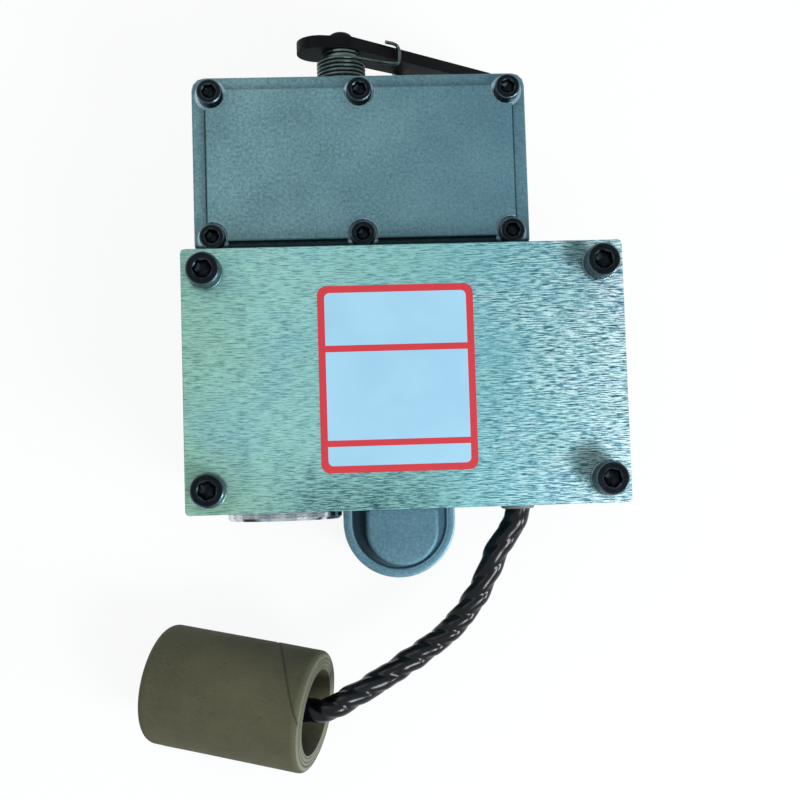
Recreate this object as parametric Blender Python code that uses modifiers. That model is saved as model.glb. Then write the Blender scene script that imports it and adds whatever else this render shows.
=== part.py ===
"""Electric governor actuator for a diesel injection pump.

The actuator lies on its rear mounting face, which is the plane z = 0. The
origin is the point of that face straight behind the middle of the steel
plate. +X is to the right and +Y is up when the plate is looked at, and +Z
points out of the plate. The magnet and its armature are in the lower
compartment, the arm and the rack link in the upper one.
"""
import math

import bmesh
import bpy
from mathutils import Matrix, Vector

MM = 0.001

# Clearances
GAP = 0.3 * MM
GASKET = 0.8 * MM
WIRE_GAP = 0.15 * MM

# Steel plate over the magnet compartment
PLATE_WIDTH = 170.0 * MM
PLATE_HEIGHT = 101.5 * MM
PLATE_THICKNESS = 6.0 * MM
PLATE_CORNER = 1.6 * MM
PLATE_FACE_Z = 105.0 * MM
PLATE_OVERHANG = 1.5 * MM
PLATE_SCREW_MARGIN = 9.4 * MM

# Main casting
HOUSING_WALL = 8.0 * MM
HOUSING_FLOOR = 10.0 * MM
LINK_WALL = 7.0 * MM
CAST_CORNER = 4.0 * MM
REAR_FLANGE_THICKNESS = 8.0 * MM
REAR_FLANGE_REACH = 6.0 * MM
GUSSET_THICKNESS = 4.0 * MM
GUSSET_HEIGHT = 60.0 * MM
GUSSET_SPACING = 30.0 * MM
CORNER_BOSS_RADIUS = 7.5 * MM

# Link compartment cover
COVER_WIDTH = 133.0 * MM
COVER_HEIGHT = 72.2 * MM
COVER_OFFSET_X = -14.8 * MM
COVER_CLEARANCE = 0.8 * MM
COVER_FLANGE = 4.0 * MM
COVER_FACE_Z = 89.0 * MM
COVER_CORNER = 5.0 * MM
PANEL_MARGIN = 5.6 * MM
PANEL_RISE = 3.6 * MM
PANEL_CORNER = 2.5 * MM
PANEL_WALL = 3.0 * MM
COVER_SCREW_INSET_X = 7.5 * MM
COVER_SCREW_INSET_Y = 7.3 * MM
COVER_BOSS_RADIUS = 6.2 * MM
COVER_BOSS_DEPTH = 14.0 * MM
SPOT_FACE_RADIUS = 6.2 * MM

# Socket cap screws: shank radius, head radius, head height, length, socket
M8_SHANK = 4.0 * MM
M8_HEAD = 6.5 * MM
M8_HEAD_HEIGHT = 8.0 * MM
M8_LENGTH = 25.0 * MM
M8_SOCKET = 3.6 * MM
M6_SHANK = 3.0 * MM
M6_HEAD = 5.0 * MM
M6_HEAD_HEIGHT = 6.0 * MM
M6_LENGTH = 12.0 * MM
M6_SOCKET = 2.9 * MM
M3_SHANK = 1.5 * MM
M3_HEAD = 2.75 * MM
M3_HEAD_HEIGHT = 3.0 * MM
M3_LENGTH = 9.0 * MM
M3_SOCKET = 1.45 * MM
HEAD_CHAMFER = 0.5 * MM
LOCK_WASHER_THICKNESS = 2.0 * MM
LOCK_WASHER_RADIUS = 6.8 * MM

# Armature shaft and its bearings
SHAFT_X = -50.2 * MM
SHAFT_Z = 52.0 * MM
SHAFT_RADIUS = 5.0 * MM
BEARING_RADIUS = 13.0 * MM
BEARING_WIDTH = 8.0 * MM
BEARING_SHOULDER = 6.5 * MM
CARRIER_RADIUS = 23.9 * MM
CARRIER_FLANGE = 5.3 * MM
CARRIER_SPIGOT = 16.0 * MM
CARRIER_CHAMFER = 1.2 * MM
CARRIER_SCREW_CIRCLE = 19.5 * MM

# Armature and stator
ARMATURE_RADIUS = 22.0 * MM
ARMATURE_HALF_LENGTH = 20.0 * MM
ARMATURE_HUB = 9.5 * MM
ARMATURE_REST_ANGLE = math.radians(60.0)
POLE_GAP = 1.0 * MM
CORE_HALF_DEPTH = 22.0 * MM
CORE_LEG = 18.0 * MM
CORE_SEAT_Z = 17.7 * MM
CORE_WINDOW = 32.0 * MM
CORE_LEFT_X = -66.0 * MM
CORE_YOKE_X = 52.0 * MM
CORE_RIGHT_X = 72.0 * MM
CORE_BOLT_SPREAD = 13.0 * MM
FORMER_LEFT_X = -20.0 * MM
FORMER_RIGHT_X = 49.0 * MM
FORMER_WALL = 1.5 * MM
FORMER_FLANGE = 2.0 * MM
FORMER_RIM = 5.6 * MM
WINDING_DEPTH = 4.6 * MM
RETURN_WIRE = 0.7 * MM
RETURN_RADIUS = 7.6 * MM

# Output arm and rack link
ARM_LENGTH = 32.0 * MM
ARM_THICKNESS = 6.0 * MM
ARM_START_Y = 59.0 * MM
ARM_HUB_RADIUS = 9.0 * MM
ARM_END_RADIUS = 6.0 * MM
ARM_REST_ANGLE = math.radians(-12.5)
ARM_PIN_RADIUS = 3.0 * MM
LINK_WIDTH = 13.0 * MM
LINK_THICKNESS = 4.0 * MM
LINK_REAR_Z = 2.0 * MM
LINK_TOP_RISE = 10.0 * MM
LINK_SLOT_HALF = 4.6 * MM
LINK_HOOK_RADIUS = 2.2 * MM
LINK_HOOK_DEPTH = 5.0 * MM
LINK_CORNER = 2.0 * MM
LINK_TAB_WIDTH = 5.0 * MM
LINK_TAB_REACH = 12.0 * MM
LINK_TAB_DROP = 1.0 * MM

# Pump opening in the rear wall
PUMP_X = -18.0 * MM
PUMP_Y = 84.0 * MM
PUMP_OPENING_RADIUS = 24.0 * MM
PUMP_PILOT_RADIUS = 29.0 * MM
PUMP_PILOT_DEPTH = 3.0 * MM
PUMP_BOLT_X = 41.0 * MM
PUMP_BOLT_Y = 19.0 * MM
PUMP_BOLT_RADIUS = 4.5 * MM

# Stop shaft, lever and spring
STOP_X = -21.5 * MM
STOP_Z = 68.0 * MM
STOP_SHAFT_RADIUS = 5.0 * MM
LINK_TO_FINGER = 1.9 * MM
BUSH_RADIUS = 8.0 * MM
BUSH_INSIDE = 2.65 * MM
BUSH_OUTSIDE = 14.55 * MM
BUSH_BOSS_RADIUS = 12.0 * MM
BUSH_BOSS_RISE = 2.0 * MM
WASHER_THICKNESS = 0.8 * MM
LEVER_THICKNESS = 5.0 * MM
LEVER_HUB_RADIUS = 8.7 * MM
LEVER_TAIL_REACH = 8.7 * MM
LEVER_TAIL_RADIUS = 9.6 * MM
LEVER_ARM_LENGTH = 78.0 * MM
LEVER_ARM_END_RADIUS = 6.5 * MM
LEVER_ARM_ANGLE = math.radians(-36.5)
LEVER_END_HOLE = 3.2 * MM
LEVER_SCREW_HEAD = 5.2 * MM
LEVER_SCREW_RISE = 3.8 * MM
FINGER_LENGTH = 20.0 * MM
FINGER_THICKNESS = 5.0 * MM
FINGER_HUB_RADIUS = 8.0 * MM
FINGER_END_RADIUS = 4.0 * MM
CIRCLIP_THICKNESS = 0.8 * MM
STOP_PIN_RADIUS = 2.5 * MM
STOP_PIN_DISTANCE = 39.0 * MM
SPRING_WIRE = 0.75 * MM
SPRING_RADIUS = 9.4 * MM
SPRING_TURNS = 6
SPRING_HOOK_DISTANCE = 24.0 * MM

# Oval end cap and its lobe of the casting
LOBE_X = -2.5 * MM
LOBE_RADIUS = 23.3 * MM
LOBE_BOTTOM_Y = -80.2 * MM
LOBE_FRONT_Z = 54.0 * MM
LOBE_POCKET_RADIUS = 17.0 * MM
LOBE_FLOOR = 12.0 * MM
CAP_THICKNESS = 3.2 * MM
CAP_LIP = 1.6 * MM
CAP_RECESS = 0.8 * MM
CAP_MIDDLE_RADIUS = 15.0 * MM
CAP_MIDDLE_BOTTOM_Y = -75.3 * MM
CAP_MIDDLE_RISE = 3.4 * MM
CAP_SPIGOT = 5.0 * MM
STOP_SCREW_Z = 30.0 * MM
STOP_SCREW_RADIUS = 3.0 * MM
STOP_SCREW_OUT = 14.0 * MM
STOP_SCREW_IN = 3.0 * MM
NUT_RADIUS = 5.8 * MM
NUT_THICKNESS = 5.0 * MM

# Cable, gland, connector and its paper guard
GLAND_X = 49.3 * MM
GLAND_Z = 42.0 * MM
CABLE_RADIUS = 5.5 * MM
GLAND_THREAD_RADIUS = 7.2 * MM
GLAND_COLLAR_RADIUS = 8.6 * MM
GLAND_COLLAR = 2.0 * MM
GLAND_NOSE_RADIUS = 7.4 * MM
GLAND_NOSE = 2.0 * MM
TUBE_RADIUS = 25.7 * MM
TUBE_BORE = 18.1 * MM
TUBE_LENGTH = 71.4 * MM
TUBE_TILT = math.radians(16.0)
TUBE_HEADING = math.radians(-10.0)
TUBE_FAR_X = -107.0 * MM
TUBE_FAR_Y = -124.6 * MM
TABLE_GAP = 0.05 * MM
CONNECTOR_RADIUS = 13.0 * MM
CONNECTOR_START = 12.2 * MM
CONNECTOR_END = 55.2 * MM
COUPLING_RADIUS = 16.0 * MM
COUPLING_START = 15.2 * MM
COUPLING_LENGTH = 18.0 * MM
CONTACT_RADIUS = 1.2 * MM
CONTACT_LENGTH = 7.0 * MM
CONTACT_CIRCLE = 6.5 * MM
CONTACT_COUNT = 5

# The cable's route in millimetres, from the gland to the connector
CABLE_ROUTE_MM = (
    (49.3, -43.0, 42.0),
    (49.3, -48.0, 42.0),
    (49.3, -53.0, 42.0),
    (48.1, -58.2, 41.8),
    (44.9, -63.8, 41.1),
    (40.0, -71.3, 39.6),
    (34.4, -84.0, 37.3),
    (27.0, -96.0, 35.6),
    (17.4, -106.4, 35.0),
    (5.6, -114.7, 35.4),
    (-4.2, -120.6, 36.8),
    (-15.2, -126.8, 39.1),
    (-26.0, -132.0, 41.9),
    (-33.0, -135.2, 43.1),
    (-38.2, -136.3, 42.7),
    (-43.1, -135.87, 41.49),
    (-48.77, -134.87, 39.84),
    (-53.92, -133.96, 38.34),
)

# Sizes that follow from the ones above
BOX_HALF_X = PLATE_WIDTH / 2 - PLATE_OVERHANG
BOX_HALF_Y = PLATE_HEIGHT / 2 - PLATE_OVERHANG
MAGNET_FRONT_Z = PLATE_FACE_Z - PLATE_THICKNESS - GASKET - 2 * GAP
LINK_FRONT_Z = COVER_FACE_Z - COVER_FLANGE - GASKET - 2 * GAP
COVER_Y = BOX_HALF_Y + COVER_CLEARANCE + COVER_HEIGHT / 2
COVER_TOP_Y = COVER_Y + COVER_HEIGHT / 2
LINK_INNER_TOP_Y = COVER_TOP_Y - LINK_WALL
PLATE_SCREWS = [
    (sx * (PLATE_WIDTH / 2 - PLATE_SCREW_MARGIN), sy * (PLATE_HEIGHT / 2 - PLATE_SCREW_MARGIN))
    for sx in (-1, 1)
    for sy in (-1, 1)
]
COVER_SCREWS = [
    (
        COVER_OFFSET_X + sx * (COVER_WIDTH / 2 - COVER_SCREW_INSET_X),
        COVER_Y + sy * (COVER_HEIGHT / 2 - COVER_SCREW_INSET_Y),
    )
    for sx in (-1, 0, 1)
    for sy in (-1, 1)
]
CORE_LOW_Z = CORE_SEAT_Z + GAP
CORE_HIGH_Z = CORE_LOW_Z + 2 * CORE_LEG + CORE_WINDOW
CORE_BOLTS = [((CORE_YOKE_X + CORE_RIGHT_X) / 2, s * CORE_BOLT_SPREAD) for s in (-1, 1)]
LOBE_CENTRE_Y = LOBE_BOTTOM_Y + LOBE_RADIUS
CAP_REAR_Z = LOBE_FRONT_Z + GASKET + 2 * GAP
CAP_MIDDLE_Y = CAP_MIDDLE_BOTTOM_Y + CAP_MIDDLE_RADIUS
CAP_TOP_Y = -BOX_HALF_Y - 2 * GAP
BUSH_START_Y = LINK_INNER_TOP_Y - BUSH_INSIDE
BUSH_END_Y = COVER_TOP_Y + BUSH_OUTSIDE
LEVER_START_Y = BUSH_END_Y + WASHER_THICKNESS + 2 * GAP
LEVER_END_Y = LEVER_START_Y + LEVER_THICKNESS
SPRING_START_Y = COVER_TOP_Y + BUSH_BOSS_RISE + GAP + SPRING_WIRE
LEVER_DIRECTION = Vector((math.cos(LEVER_ARM_ANGLE), 0.0, math.sin(LEVER_ARM_ANGLE)))
LEVER_NORMAL = Vector((-math.sin(LEVER_ARM_ANGLE), 0.0, math.cos(LEVER_ARM_ANGLE)))
ARM_END_Y = ARM_START_Y + ARM_THICKNESS
LINK_START_Y = ARM_END_Y + 2 * GAP
STOP_SHAFT_START_Y = LINK_START_Y + LINK_THICKNESS + LINK_TO_FINGER
LINK_X = SHAFT_X + ARM_LENGTH * math.cos(ARM_REST_ANGLE)
ARM_PIN_Z = SHAFT_Z + ARM_LENGTH * math.sin(ARM_REST_ANGLE)

STANDING = Matrix.Rotation(math.pi / 2, 4, "X")
SIDEWAYS = Matrix(((0, 0, 1, 0), (1, 0, 0, 0), (0, 1, 0, 0), (0, 0, 0, 1)))
TURN_TO_Y = Matrix.Rotation(-math.pi / 2, 4, "X")


# Scene and materials
def clear_scene():
    for obj in list(bpy.data.objects):
        bpy.data.objects.remove(obj, do_unlink=True)


def make_collection(name):
    made = bpy.data.collections.new(name)
    bpy.context.scene.collection.children.link(made)
    return made


def make_material(name, colour, roughness, metallic):
    made = bpy.data.materials.new(name)
    made.use_nodes = True
    shader = made.node_tree.nodes["Principled BSDF"]
    shader.inputs["Base Color"].default_value = (*colour, 1.0)
    shader.inputs["Roughness"].default_value = roughness
    shader.inputs["Metallic"].default_value = metallic
    made.diffuse_color = (*colour, 1.0)
    return made


clear_scene()
PARTS = make_collection("engine_governor_actuator")
CUTTERS = make_collection("actuator_cutters")


# Flat outlines, each a list of (x, y) points that runs anticlockwise
def arc(cx, cy, radius, start, end, steps):
    return [
        (
            cx + radius * math.cos(start + (end - start) * i / steps),
            cy + radius * math.sin(start + (end - start) * i / steps),
        )
        for i in range(steps + 1)
    ]


def rounded_rectangle(low_x, high_x, low_y, high_y, radius, steps=3):
    corners = (
        (high_x - radius, low_y + radius, -math.pi / 2),
        (high_x - radius, high_y - radius, 0.0),
        (low_x + radius, high_y - radius, math.pi / 2),
        (low_x + radius, low_y + radius, math.pi),
    )
    points = []
    for cx, cy, start in corners:
        points += arc(cx, cy, radius, start, start + math.pi / 2, steps)
    return points


def d_shape(cx, cy, radius, top, steps=18):
    """A half round at the bottom with straight sides up to a flat top."""
    return [(cx + radius, top), (cx - radius, top)] + arc(cx, cy, radius, math.pi, 2 * math.pi, steps)


def hull(points):
    """The convex outline round a cloud of points."""
    ordered = sorted(set(points))

    def half(run):
        chain = []
        for p in run:
            while len(chain) > 1:
                (ax, ay), (bx, by) = chain[-2], chain[-1]
                if (bx - ax) * (p[1] - ay) - (by - ay) * (p[0] - ax) > 0:
                    break
                chain.pop()
            chain.append(p)
        return chain[:-1]

    return half(ordered) + half(reversed(ordered))


def blended_circles(circles, steps=24):
    points = []
    for cx, cy, radius in circles:
        points += arc(cx, cy, radius, 0.0, 2 * math.pi, steps)[:-1]
    return hull(points)


# Solids
def finish_mesh(name, bm, placed, home):
    mesh = bpy.data.meshes.new(name)
    bm.to_mesh(mesh)
    bm.free()
    made = bpy.data.objects.new(name, mesh)
    made.matrix_world = placed
    home.objects.link(made)
    return made


def evaluated_mesh(obj):
    bpy.context.view_layer.update()
    graph = bpy.context.evaluated_depsgraph_get()
    return bpy.data.meshes.new_from_object(obj.evaluated_get(graph))


def extruded(name, outline, low, high, home=CUTTERS, plane="XY"):
    """A flat outline given thickness between two heights along its plane's normal."""
    if plane == "XZ":
        low, high = -high, -low
    curve = bpy.data.curves.new(name, "CURVE")
    curve.dimensions = "2D"
    curve.fill_mode = "BOTH"
    curve.extrude = (high - low) / 2
    spline = curve.splines.new("POLY")
    spline.points.add(len(outline) - 1)
    for point, (x, y) in zip(spline.points, outline):
        point.co = (x, y, 0.0, 1.0)
    spline.use_cyclic_u = True
    guide = bpy.data.objects.new(name + "_outline", curve)
    home.objects.link(guide)
    mesh = evaluated_mesh(guide)
    bm = bmesh.new()
    bm.from_mesh(mesh)
    bmesh.ops.remove_doubles(bm, verts=bm.verts, dist=1e-7)
    bmesh.ops.dissolve_limit(bm, angle_limit=0.01, verts=bm.verts, edges=bm.edges)
    bmesh.ops.translate(bm, verts=bm.verts, vec=(0.0, 0.0, (low + high) / 2))
    bmesh.ops.recalc_face_normals(bm, faces=bm.faces)
    bpy.data.objects.remove(guide, do_unlink=True)
    bpy.data.meshes.remove(mesh)
    placed = {"XY": Matrix.Identity(4), "XZ": STANDING, "YZ": SIDEWAYS}[plane]
    return finish_mesh(name, bm, placed, home)


def rods(name, radius, places, low, high, segments=12, home=CUTTERS, along="Z"):
    """Equal cylinders at several places, as one object."""
    bm = bmesh.new()
    for a, b in places:
        if along == "Z":
            spot = Matrix.Translation((a, b, (low + high) / 2))
        else:
            spot = Matrix.Translation((a, (low + high) / 2, b)) @ TURN_TO_Y
        bmesh.ops.create_cone(
            bm,
            cap_ends=True,
            segments=segments,
            radius1=radius,
            radius2=radius,
            depth=high - low,
            matrix=spot,
        )
    return finish_mesh(name, bm, Matrix.Identity(4), home)


def turned(name, profile, steps, home=PARTS, placed=None):
    """A turned solid. The profile runs down the outer side, and may close on itself."""
    bm = bmesh.new()
    verts = [bm.verts.new((radius, 0.0, height)) for radius, height in profile]
    for a, b in zip(verts, verts[1:]):
        bm.edges.new((a, b))
    if profile[0][0] > 0.0:
        bm.edges.new((verts[-1], verts[0]))
    made = finish_mesh(name, bm, placed or Matrix.Identity(4), home)
    screw = made.modifiers.new("turn", "SCREW")
    screw.steps = steps
    screw.render_steps = steps
    screw.use_merge_vertices = True
    screw.merge_threshold = 0.00001
    return made


def ring_profile(inner, outer, low, high):
    return [(outer, high), (outer, low), (inner, low), (inner, high)]


def cut(target, tool, operation="DIFFERENCE"):
    change = target.modifiers.new(tool.name, "BOOLEAN")
    change.operation = operation
    change.solver = "EXACT"
    change.object = tool
    tool.hide_render = True
    tool.display_type = "WIRE"


def join(target, tool):
    cut(target, tool, "UNION")


def bevel(target, width, segments=1):
    change = target.modifiers.new("edge", "BEVEL")
    change.width = width
    change.segments = segments
    change.limit_method = "ANGLE"
    change.angle_limit = math.radians(50.0)


def dress(obj, finish):
    obj.data.materials.clear()
    obj.data.materials.append(finish)
    return obj


def copies(names, template, frames, finish):
    """Equal pieces that share one mesh, each its own object."""
    mesh = evaluated_mesh(template)
    mesh.name = template.name
    mesh.materials.clear()
    mesh.materials.append(finish)
    bpy.data.objects.remove(template, do_unlink=True)
    for name, frame in zip(names, frames):
        made = bpy.data.objects.new(name, mesh)
        made.matrix_world = frame
        PARTS.objects.link(made)


def wire(name, points, radius, resolution, home=PARTS):
    """A round wire or cable through a row of points."""
    curve = bpy.data.curves.new(name, "CURVE")
    curve.dimensions = "3D"
    curve.bevel_depth = radius
    curve.bevel_resolution = resolution
    curve.use_fill_caps = True
    spline = curve.splines.new("POLY")
    spline.points.add(len(points) - 1)
    for point, (x, y, z) in zip(spline.points, points):
        point.co = (x, y, z, 1.0)
    made = bpy.data.objects.new(name, curve)
    home.objects.link(made)
    return made


def smooth_route(route, spacing):
    """Even points on a smooth curve through the route's own points."""
    knots = [Vector(p) for p in route]
    knots = [2 * knots[0] - knots[1]] + knots + [2 * knots[-1] - knots[-2]]
    fine = []
    for a, b, c, d in zip(knots, knots[1:], knots[2:], knots[3:]):
        for i in range(12):
            t = i / 12
            fine.append(
                0.5
                * (
                    2 * b
                    + (c - a) * t
                    + (2 * a - 5 * b + 4 * c - d) * t * t
                    + (3 * b - a - 3 * c + d) * t * t * t
                )
            )
    fine.append(knots[-2])
    total = sum((b - a).length for a, b in zip(fine, fine[1:]))
    count = max(2, round(total / spacing))
    even = [fine[0]]
    walked = 0.0
    for a, b in zip(fine, fine[1:]):
        step = (b - a).length
        while len(even) < count and walked + step >= total * len(even) / count:
            even.append(a.lerp(b, (total * len(even) / count - walked) / step))
        walked += step
    return [tuple(p) for p in even + [fine[-1]]]


def cap_screw_template(name, shank, head, head_height, length, socket, steps):
    """A socket cap screw that stands on the plane of its seat."""
    profile = [
        (0.0, head_height),
        (head - HEAD_CHAMFER, head_height),
        (head, head_height - HEAD_CHAMFER),
        (head, 0.0),
        (shank, 0.0),
        (shank, -length),
        (0.0, -length),
    ]
    made = turned(name, profile, steps, CUTTERS)
    key = rods(name + "_socket", socket, [(0.0, 0.0)], head_height * 0.45, head_height * 1.5, 6)
    cut(made, key)
    return made


def at(places, height):
    return [Matrix.Translation((x, y, height)) for x, y in places]


# Materials
CAST = make_material("cast_aluminium", (0.30, 0.36, 0.38), 0.48, 0.9)
GROUND_STEEL = make_material("ground_zinc_steel", (0.55, 0.66, 0.64), 0.3, 1.0)
BLACK_STEEL = make_material("black_oxide_steel", (0.02, 0.022, 0.025), 0.4, 0.6)
SPRING_STEEL = make_material("spring_steel", (0.32, 0.34, 0.34), 0.35, 1.0)
TURNED_STEEL = make_material("turned_steel", (0.72, 0.74, 0.76), 0.15, 1.0)
LEVER_BLACK = make_material("lever_black", (0.012, 0.015, 0.017), 0.45, 0.3)
GASKET_FIBRE = make_material("gasket_fibre", (0.10, 0.10, 0.09), 0.9, 0.0)
CORE_IRON = make_material("core_iron", (0.22, 0.22, 0.23), 0.5, 0.9)
COPPER = make_material("enamelled_copper", (0.45, 0.18, 0.07), 0.35, 0.8)
FORMER_NYLON = make_material("former_nylon", (0.75, 0.72, 0.62), 0.5, 0.0)
CABLE_BLACK = make_material("cable_black", (0.012, 0.014, 0.016), 0.25, 0.0)
SEAL_RUBBER = make_material("seal_rubber", (0.015, 0.015, 0.015), 0.7, 0.0)
CONNECTOR_BLACK = make_material("connector_black", (0.02, 0.02, 0.022), 0.3, 0.0)
KRAFT = make_material("kraft_paper", (0.115, 0.105, 0.07), 0.85, 0.0)
DULL_STEEL = make_material("dull_steel", (0.45, 0.46, 0.47), 0.35, 1.0)


# Tools that both the casting and what seats on it are cut with
def make_magnet_pocket():
    inner_x = BOX_HALF_X - HOUSING_WALL
    inner_y = BOX_HALF_Y - HOUSING_WALL
    outline = rounded_rectangle(-inner_x, inner_x, -inner_y, inner_y, CAST_CORNER)
    pocket = extruded("magnet_pocket", outline, HOUSING_FLOOR, MAGNET_FRONT_Z + 2 * HOUSING_WALL)
    cut(pocket, rods("corner_bosses", CORNER_BOSS_RADIUS, PLATE_SCREWS, 0.0, PLATE_FACE_Z * 1.5))
    seat = rounded_rectangle(
        CORE_YOKE_X - GAP, inner_x + HOUSING_WALL / 2, -CORE_HALF_DEPTH, CORE_HALF_DEPTH, CAST_CORNER
    )
    cut(pocket, extruded("core_seat", seat, 0.0, CORE_SEAT_Z))
    return pocket


def make_link_pocket():
    outline = rounded_rectangle(
        COVER_OFFSET_X - COVER_WIDTH / 2 + LINK_WALL,
        COVER_OFFSET_X + COVER_WIDTH / 2 - LINK_WALL,
        BOX_HALF_Y + LINK_WALL,
        LINK_INNER_TOP_Y,
        CAST_CORNER,
    )
    pocket = extruded("link_pocket", outline, HOUSING_FLOOR, LINK_FRONT_Z + 2 * HOUSING_WALL)
    bosses = rods(
        "cover_bosses",
        COVER_BOSS_RADIUS,
        COVER_SCREWS,
        LINK_FRONT_Z - COVER_BOSS_DEPTH,
        LINK_FRONT_Z + 3 * HOUSING_WALL,
    )
    cut(pocket, bosses)
    return pocket


# Main casting
def make_housing(magnet_pocket, link_pocket):
    outline = rounded_rectangle(-BOX_HALF_X, BOX_HALF_X, -BOX_HALF_Y, BOX_HALF_Y, CAST_CORNER)
    body = extruded("housing", outline, 0.0, MAGNET_FRONT_Z, PARTS)
    link_box = rounded_rectangle(
        COVER_OFFSET_X - COVER_WIDTH / 2 + GAP,
        COVER_OFFSET_X + COVER_WIDTH / 2 - GAP,
        BOX_HALF_Y - HOUSING_WALL,
        COVER_TOP_Y - GAP,
        COVER_CORNER,
    )
    join(body, extruded("link_box", link_box, 0.0, LINK_FRONT_Z))
    lobe = d_shape(LOBE_X, LOBE_CENTRE_Y, LOBE_RADIUS, -BOX_HALF_Y + HOUSING_WALL / 2)
    join(body, extruded("cap_lobe", lobe, 0.0, LOBE_FRONT_Z))
    reach = BOX_HALF_X + REAR_FLANGE_REACH
    flange = rounded_rectangle(
        -reach, reach, -BOX_HALF_Y + CAST_CORNER, BOX_HALF_Y - CAST_CORNER, CAST_CORNER
    )
    join(body, extruded("rear_flange", flange, 0.0, REAR_FLANGE_THICKNESS))
    slope = [
        (BOX_HALF_X - HOUSING_WALL / 2, REAR_FLANGE_THICKNESS / 2),
        (reach - 2 * GAP, REAR_FLANGE_THICKNESS / 2),
        (BOX_HALF_X + 2 * GAP, GUSSET_HEIGHT),
        (BOX_HALF_X - HOUSING_WALL / 2, GUSSET_HEIGHT),
    ]
    mirrored = [(-x, z) for x, z in reversed(slope)]
    for i in (-1, 0, 1):
        low = i * GUSSET_SPACING - GUSSET_THICKNESS / 2
        join(body, extruded(f"gusset_right_{i + 2}", slope, low, low + GUSSET_THICKNESS, plane="XZ"))
        join(body, extruded(f"gusset_left_{i + 2}", mirrored, low, low + GUSSET_THICKNESS, plane="XZ"))
    boss = rods(
        "bush_boss",
        BUSH_BOSS_RADIUS,
        [(STOP_X, STOP_Z)],
        LINK_INNER_TOP_Y + LINK_WALL / 2,
        COVER_TOP_Y + BUSH_BOSS_RISE,
        22,
        along="Y",
    )
    join(body, boss)
    cut(body, magnet_pocket)
    cut(body, link_pocket)
    cut_housing_holes(body)
    return dress(body, CAST)


def cut_housing_holes(body):
    hole = M8_SHANK + GAP
    cut(body, rods("plate_holes", hole, PLATE_SCREWS, MAGNET_FRONT_Z - M8_LENGTH, PLATE_FACE_Z * 1.2, 10))
    hole = M6_SHANK + GAP
    low = COVER_FACE_Z - M6_LENGTH - 1.5 * MM
    cut(body, rods("cover_holes", hole, COVER_SCREWS, low, COVER_FACE_Z * 1.2, 8))
    cut(body, rods("core_holes", hole, CORE_BOLTS, HOUSING_FLOOR * 0.3, CORE_HIGH_Z, 8))
    pump = [(PUMP_X, PUMP_Y)]
    cut(body, rods("pump_opening", PUMP_OPENING_RADIUS, pump, -HOUSING_FLOOR, HOUSING_FLOOR * 1.5, 24))
    cut(body, rods("pump_pilot", PUMP_PILOT_RADIUS, pump, -HOUSING_FLOOR, PUMP_PILOT_DEPTH, 24))
    bolts = [(PUMP_X + sx * PUMP_BOLT_X, PUMP_Y + sy * PUMP_BOLT_Y) for sx in (-1, 1) for sy in (-1, 1)]
    cut(body, rods("pump_bolt_holes", PUMP_BOLT_RADIUS, bolts, -HOUSING_FLOOR, HOUSING_FLOOR * 1.5))
    shaft = [(SHAFT_X, SHAFT_Z)]
    inner_y = BOX_HALF_Y - HOUSING_WALL
    cut(
        body,
        rods("shaft_passage", BEARING_SHOULDER, shaft, inner_y - HOUSING_WALL, ARM_START_Y, 14, along="Y"),
    )
    cut(
        body,
        rods(
            "upper_bearing_bore",
            BEARING_RADIUS + GAP,
            shaft,
            inner_y - HOUSING_WALL,
            inner_y + BEARING_WIDTH + 2 * GAP,
            24,
            along="Y",
        ),
    )
    outside = -BOX_HALF_Y - HOUSING_WALL
    inside = -inner_y + HOUSING_WALL / 2
    cut(body, rods("carrier_bore", CARRIER_SPIGOT + GAP, shaft, outside, inside, 24, along="Y"))
    screws = carrier_screw_places()
    cut(
        body,
        rods("carrier_screw_holes", M3_SHANK + GAP, screws, outside, -inner_y - MM, 8, along="Y"),
    )
    gland = [(GLAND_X, GLAND_Z)]
    cut(body, rods("gland_hole", GLAND_THREAD_RADIUS + GAP, gland, outside, inside, 16, along="Y"))
    pocket = d_shape(LOBE_X, LOBE_CENTRE_Y, LOBE_POCKET_RADIUS, -BOX_HALF_Y - MM)
    cut(body, extruded("lobe_pocket", pocket, LOBE_FLOOR, LOBE_FRONT_Z * 1.2))
    place = [(LOBE_X, STOP_SCREW_Z)]
    low = -BOX_HALF_Y - 2 * MM
    cut(body, rods("stop_screw_hole", STOP_SCREW_RADIUS + GAP, place, low, inside, along="Y"))
    bush = [(STOP_X, STOP_Z)]
    beyond = COVER_TOP_Y + HOUSING_WALL
    cut(
        body,
        rods("bush_bore", BUSH_RADIUS + GAP, bush, LINK_INNER_TOP_Y - LINK_WALL, beyond, 20, along="Y"),
    )
    pin = [stop_pin_place()]
    low = LINK_INNER_TOP_Y + 2 * MM
    cut(body, rods("stop_pin_hole", STOP_PIN_RADIUS + GAP, pin, low, beyond, 10, along="Y"))
    leg = [spring_anchor_place()]
    cut(body, rods("spring_anchor_hole", SPRING_WIRE + GAP, leg, low, beyond, 8, along="Y"))


def carrier_screw_places():
    return [
        (
            SHAFT_X + CARRIER_SCREW_CIRCLE * math.cos(angle),
            SHAFT_Z + CARRIER_SCREW_CIRCLE * math.sin(angle),
        )
        for angle in (math.radians(95.0), math.radians(215.0), math.radians(335.0))
    ]


def stop_pin_place():
    taper = (LEVER_HUB_RADIUS - LEVER_ARM_END_RADIUS) * STOP_PIN_DISTANCE / LEVER_ARM_LENGTH
    off = LEVER_HUB_RADIUS - taper + STOP_PIN_RADIUS + GAP
    spot = Vector((STOP_X, 0.0, STOP_Z)) + LEVER_DIRECTION * STOP_PIN_DISTANCE - LEVER_NORMAL * off
    return spot.x, spot.z


def spring_anchor_place():
    return STOP_X - SPRING_RADIUS, STOP_Z - BUSH_BOSS_RADIUS


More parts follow.
